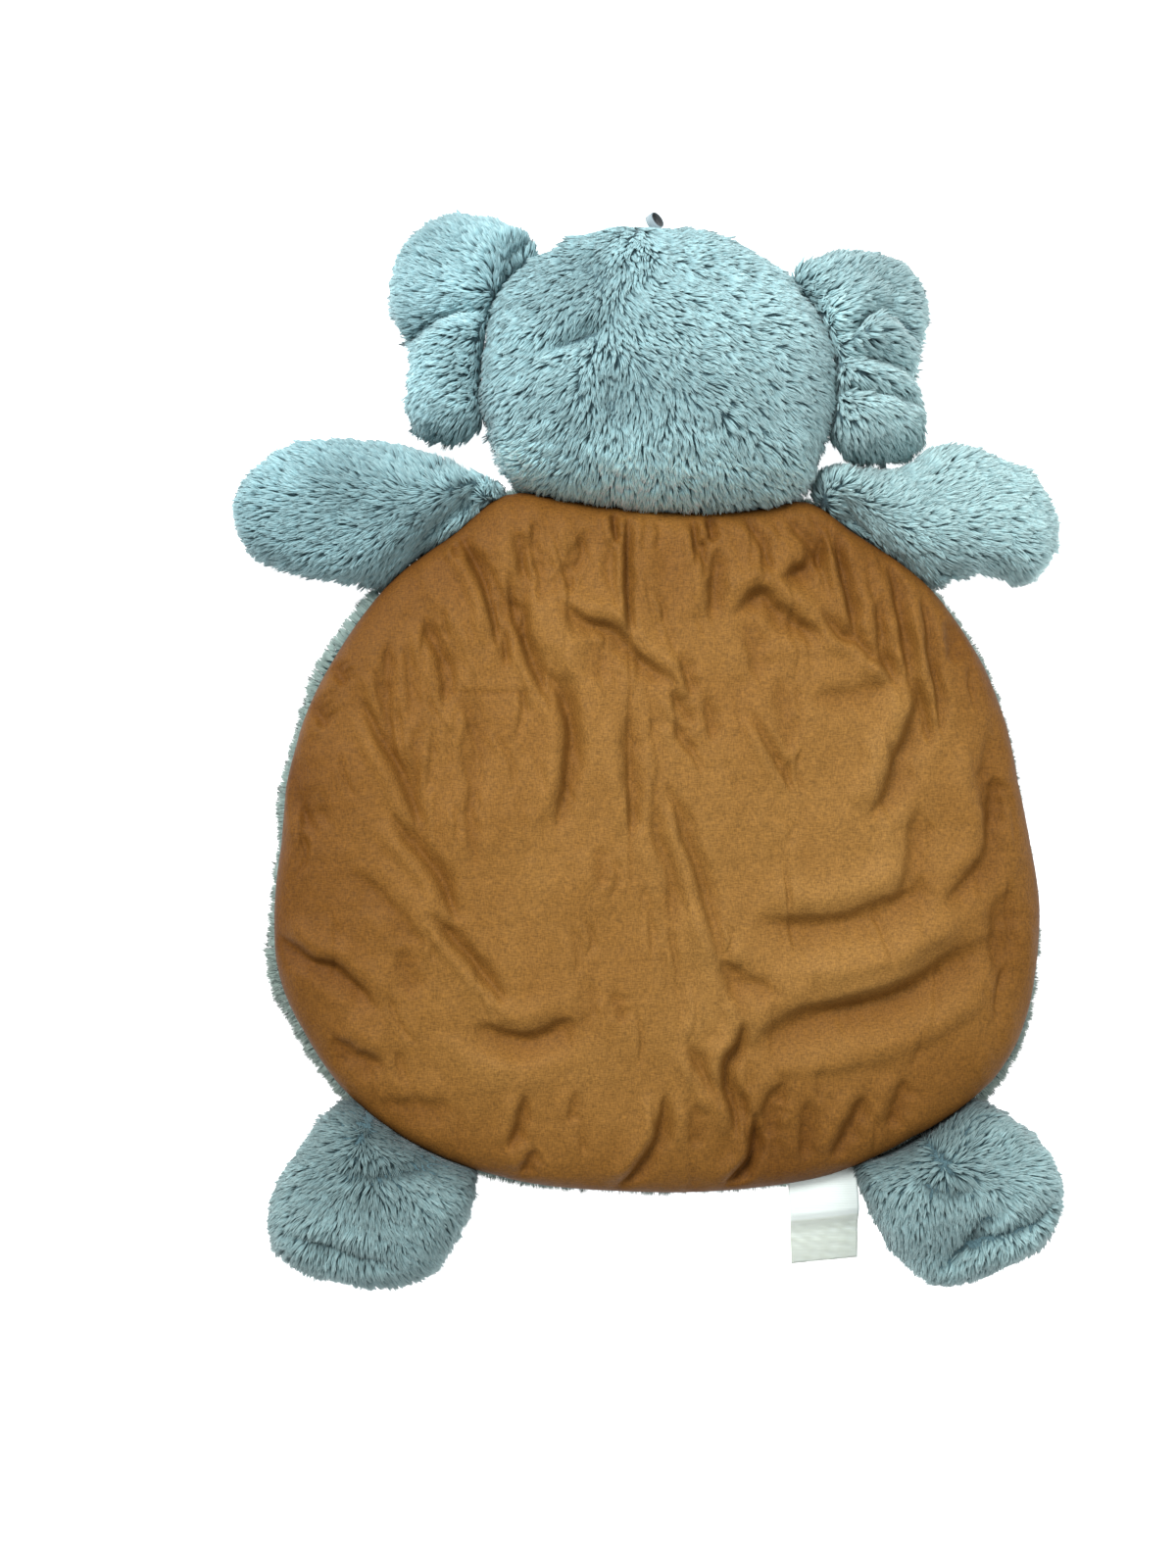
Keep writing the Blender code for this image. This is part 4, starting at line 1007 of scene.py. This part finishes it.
front_seam = even(rounded(front_edge(even(backing_seam, 6.0)), 3), 6.0)
front_out = outward(front_seam)
ring = len(front_seam)
front_verts = np.vstack([np.column_stack([front_seam + front_out * shift, np.full(ring, level)])
                         for shift, level in FRONT_ROWS])
last = (len(FRONT_ROWS) - 1) * ring
front_faces = [[row + ring + i, row + i, row + (i + 1) % ring, row + ring + (i + 1) % ring]
               for row in range(0, last, ring) for i in range(ring)]
front_faces.append(list(range(ring)))
front_faces.append([last + i for i in range(ring)])
front = placed("plush_front_ground", front_verts, front_faces)
front.data.materials.append(ground_finish)
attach(front, "root")
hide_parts("plush_front")

rim_nap = [(x, y, np.degrees(np.arctan2(n[1], n[0])))
           for (x, y), n in list(zip(front_seam, front_out))[::3]]
rim_pile = tufts("rim_pile", front, 21000, rim_nap, 81, length=(9.5, 12.0), width=0.9,
                 wander=9.0, rise=(30.0, 12.0), under=0.0, painted_brightness=0.52, gather=(0.2, 0.7), clump=6,
                 keep=lambda spots: edge_distance(spots[:, :2], front_seam) < RIM_PILE)
# The same polyester pile, rubbed greyer and brushed looser round the edge.
edge_finish = pile_finish.copy()
edge_finish.name = "grey_polyester_pile_edge"
edge_depth = edge_finish.node_tree.nodes[depth.name].color_ramp.elements
for stop, colour in zip(edge_depth, ("#526C6D", "#B6CDC7", "#CADFD9")):
    stop.color = linear(colour)
rim_pile.data.materials.append(edge_finish)

# ---- hang loop ------------------------------------------------------------------------------
# A short loop of grey grosgrain ribbon, both ends sewn into the seam at the top of the head.
# It stands out of the pile on its edge and leans a little to one side.
LOOP_MIDDLE, LOOP_OUTER = (5.0, 386.6), (4.5, 6.0)     # mm, in plan
LOOP_LOW, LOOP_HIGH, LOOP_THICK = 38.2, 45.8, 1.8      # mm
LOOP_LEAN = 0.5            # to the right with its height, to the left away from the head
LOOP_STEPS = 48            # points round the loop
# the ribbon's section: share of the thickness from the inside, height (mm)
section = [(0.0, LOOP_LOW + 0.4), (0.25, LOOP_LOW), (0.75, LOOP_LOW), (1.0, LOOP_LOW + 0.4),
           (0.75, LOOP_HIGH), (0.25, LOOP_HIGH)]
loop_verts = []
for turn in np.linspace(0.0, 2 * np.pi, LOOP_STEPS, endpoint=False):
    for out_share, level in section:
        across, along = [outer - LOOP_THICK * (1 - out_share) for outer in LOOP_OUTER]
        lean = LOOP_LEAN * (level - (LOOP_LOW + LOOP_HIGH) / 2) - LOOP_LEAN * along * np.sin(turn)
        loop_verts.append((LOOP_MIDDLE[0] + across * np.cos(turn) * 0.9 + lean,
                           LOOP_MIDDLE[1] + along * np.sin(turn), level))
m = len(section)
loop_faces = [[i * m + k, i * m + (k + 1) % m, (i + 1) % LOOP_STEPS * m + (k + 1) % m,
               (i + 1) % LOOP_STEPS * m + k] for i in range(LOOP_STEPS) for k in range(m)]
hang_loop = placed("hang_loop_ribbon", loop_verts, loop_faces)
# painted shade: the inner side of the loop is painted dark, as it lies in its own shade
inner_side = np.tile([0.08 if out_share < 0.5 else 1.0 for out_share, _ in section], LOOP_STEPS)
painted(hang_loop.data, "painted_light_and_shade", inner_side, inner_side, inner_side)
# Woven polyester ribbon with fine cross ribs, soft and a little shiny.
ribbon, shader = finish("grey_grosgrain_ribbon", 0.6, 0.2)
place = add(ribbon, "TexCoord")
# ribs 0.9 mm apart round the ribbon
ribs = add(ribbon, "TexWave", [("Vector", place, "Object")], wave_type="BANDS",
           bands_direction="Z", in_Scale=349.0, in_Distortion=0.6, in_Detail=1.0)
rib_tone = add(ribbon, "ValToRGB", [("Fac", ribs, "Fac")])
rib_tone.color_ramp.elements[0].color = linear("#7F8F96")
rib_tone.color_ramp.elements[1].color = linear("#A9B9C0")
relief = add(ribbon, "Bump", [("Height", ribs, "Fac")], in_Strength=0.6, in_Distance=0.0003)
join(ribbon, with_painted_light_and_shade(ribbon, rib_tone), "Color", shader, "Base Color")
join(ribbon, relief, "Normal", shader, "Normal")
hang_loop.data.materials.append(ribbon)
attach(hang_loop, "root")
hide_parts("hang_loop")

# ---- care label -----------------------------------------------------------------------------
# A blank white satin label, sewn into the mat's edge seam between the feet. It is folded once
# across, springs up at the fold and lies down on the floor at its free end.
TAPE_FOLD, TAPE_SLANT = -353.4, 0.11   # mm at x = 110, where the tape meets the floor
TAPE_CREASE = 14.5         # mm below that, a sharp crease across the lying part
label_bm = welded("care_label")
bmesh.ops.subdivide_edges(label_bm, edges=label_bm.edges, cuts=3, use_grid_fill=True)
label_mesh = bpy.data.meshes.new("care_label_tape")
label_bm.to_mesh(label_mesh)
label_bm.free()
tape_at = points_of(label_mesh) / MM
down = (tape_at[:, 1].max() - tape_at[:, 1]) / np.ptp(tape_at[:, 1])
over = (tape_at[:, 0] - tape_at[:, 0].min()) / np.ptp(tape_at[:, 0])
# it is a few mm wider than the solid, and a little more so at the seam
tape_at[:, 0] += (1.0 - down) * (-3.6 + 7.0 * over) + down * (0.6 + 5.0 * over)
below = TAPE_FOLD + (tape_at[:, 0] - 110.0) * TAPE_SLANT - tape_at[:, 1]
lying = np.clip(below / 1.8, 0.0, 1.0)
crumple = waves(tape_at[:, :2] * (0.6, 1.0), 5.5, 91, 9)
crease = np.exp(-(below - TAPE_CREASE) ** 2)
tape_at[:, 2] += 0.5 * lying * (1.0 + crumple)
tape_at[:, 2] += 0.9 * crease
label_mesh.vertices.foreach_set("co", (tape_at * MM).ravel())
# painted light and shade: the lying part is painted greyer as it turns away from the light, with
# a painted highlight along the crease and painted shade just below the fold
grey = 1.0 - 0.17 * lying * (1.0 + 0.25 * crumple) + 0.09 * crease
grey -= 0.06 * np.exp(-((below - 1.0) / 1.5) ** 2)
painted(label_mesh, "painted_light_and_shade", grey, grey, grey ** 1.4)
label_mesh.shade_smooth()
care_label = shown("care_label_tape", label_mesh)
# White polyester satin tape: smooth, with a low gloss along its floats.
tape, shader = finish("white_satin_label_tape", 0.45, 0.1, 0.5)
place = add(tape, "TexCoord")
# satin floats 0.5 mm apart, drawn 1.2 mm apart so that they show
floats = add(tape, "TexWave", [("Vector", place, "Object")], wave_type="BANDS",
             bands_direction="Y", in_Scale=262.0, in_Distortion=1.0, in_Detail=2.0)
tape_tone = add(tape, "ValToRGB", [("Fac", floats, "Fac")])
tape_tone.color_ramp.elements[0].color = linear("#E8F4EF")
tape_tone.color_ramp.elements[1].color = linear("#F3FBF7")
relief = add(tape, "Bump", [("Height", floats, "Fac")], in_Strength=0.3, in_Distance=0.0002)
join(tape, with_painted_light_and_shade(tape, tape_tone), "Color", shader, "Base Color")
join(tape, relief, "Normal", shader, "Normal")
care_label.data.materials.append(tape)
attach(care_label, "root")
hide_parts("care_label")

# ---- floor and light ------------------------------------------------------------------------
# A plain pale studio floor, a large soft lamp at the upper left of the picture, a weaker one at
# the right, and an even pale surround.
FLOOR_REACH = 20.0         # m, from the middle to each side
floor_mesh = bpy.data.meshes.new("floor")
floor_mesh.from_pydata([(x * FLOOR_REACH, y * FLOOR_REACH, 0.0)
                        for x, y in ((-1, -1), (1, -1), (1, 1), (-1, 1))], [], [(0, 1, 2, 3)])
floor = shown("floor", floor_mesh)
# Matt white paper, which gives off some light of its own so that it shows evenly white.
paper, shader = finish("pale_paper_floor", 0.9, 0.0, 0.2)
place = add(paper, "TexCoord")
grain = add(paper, "TexNoise", [("Vector", place, "Object")], in_Scale=300.0, in_Detail=2.0)
pale = add(paper, "ValToRGB", [("Fac", grain, "Fac")])
pale.color_ramp.elements[0].color = linear("#F6F6F6")
pale.color_ramp.elements[1].color = linear("#FBFBFB")
join(paper, pale, "Color", shader, "Base Color")
shader.inputs["Emission Color"].default_value = (1.0, 1.0, 1.0, 1.0)
shader.inputs["Emission Strength"].default_value = 0.9
floor.data.materials.append(paper)


def lamp(name, spot_at, size, power):
    """A round soft lamp (metres, watts) that shines at the middle of the floor."""
    light = bpy.data.lights.new(name, "AREA")
    light.shape, light.size, light.energy = "DISK", size, power
    holder = bpy.data.objects.new(name, light)
    holder.location = spot_at
    holder.rotation_euler = (-Vector(spot_at)).to_track_quat("-Z", "Y").to_euler()
    bpy.context.collection.objects.link(holder)


lamp("window_light", (-0.90, 1.20, 1.80), 1.0, 62.0)
lamp("room_light", (1.5, 0.3, 1.5), 1.2, 15.0)
surround = bpy.data.worlds.new("surround")
bpy.context.scene.world = surround
surround.use_nodes = True
surround.node_tree.nodes["Background"].inputs["Color"].default_value = linear("#F7FAFC")
surround.node_tree.nodes["Background"].inputs["Strength"].default_value = 0.42
bpy.context.scene.view_settings.view_transform = "Standard"
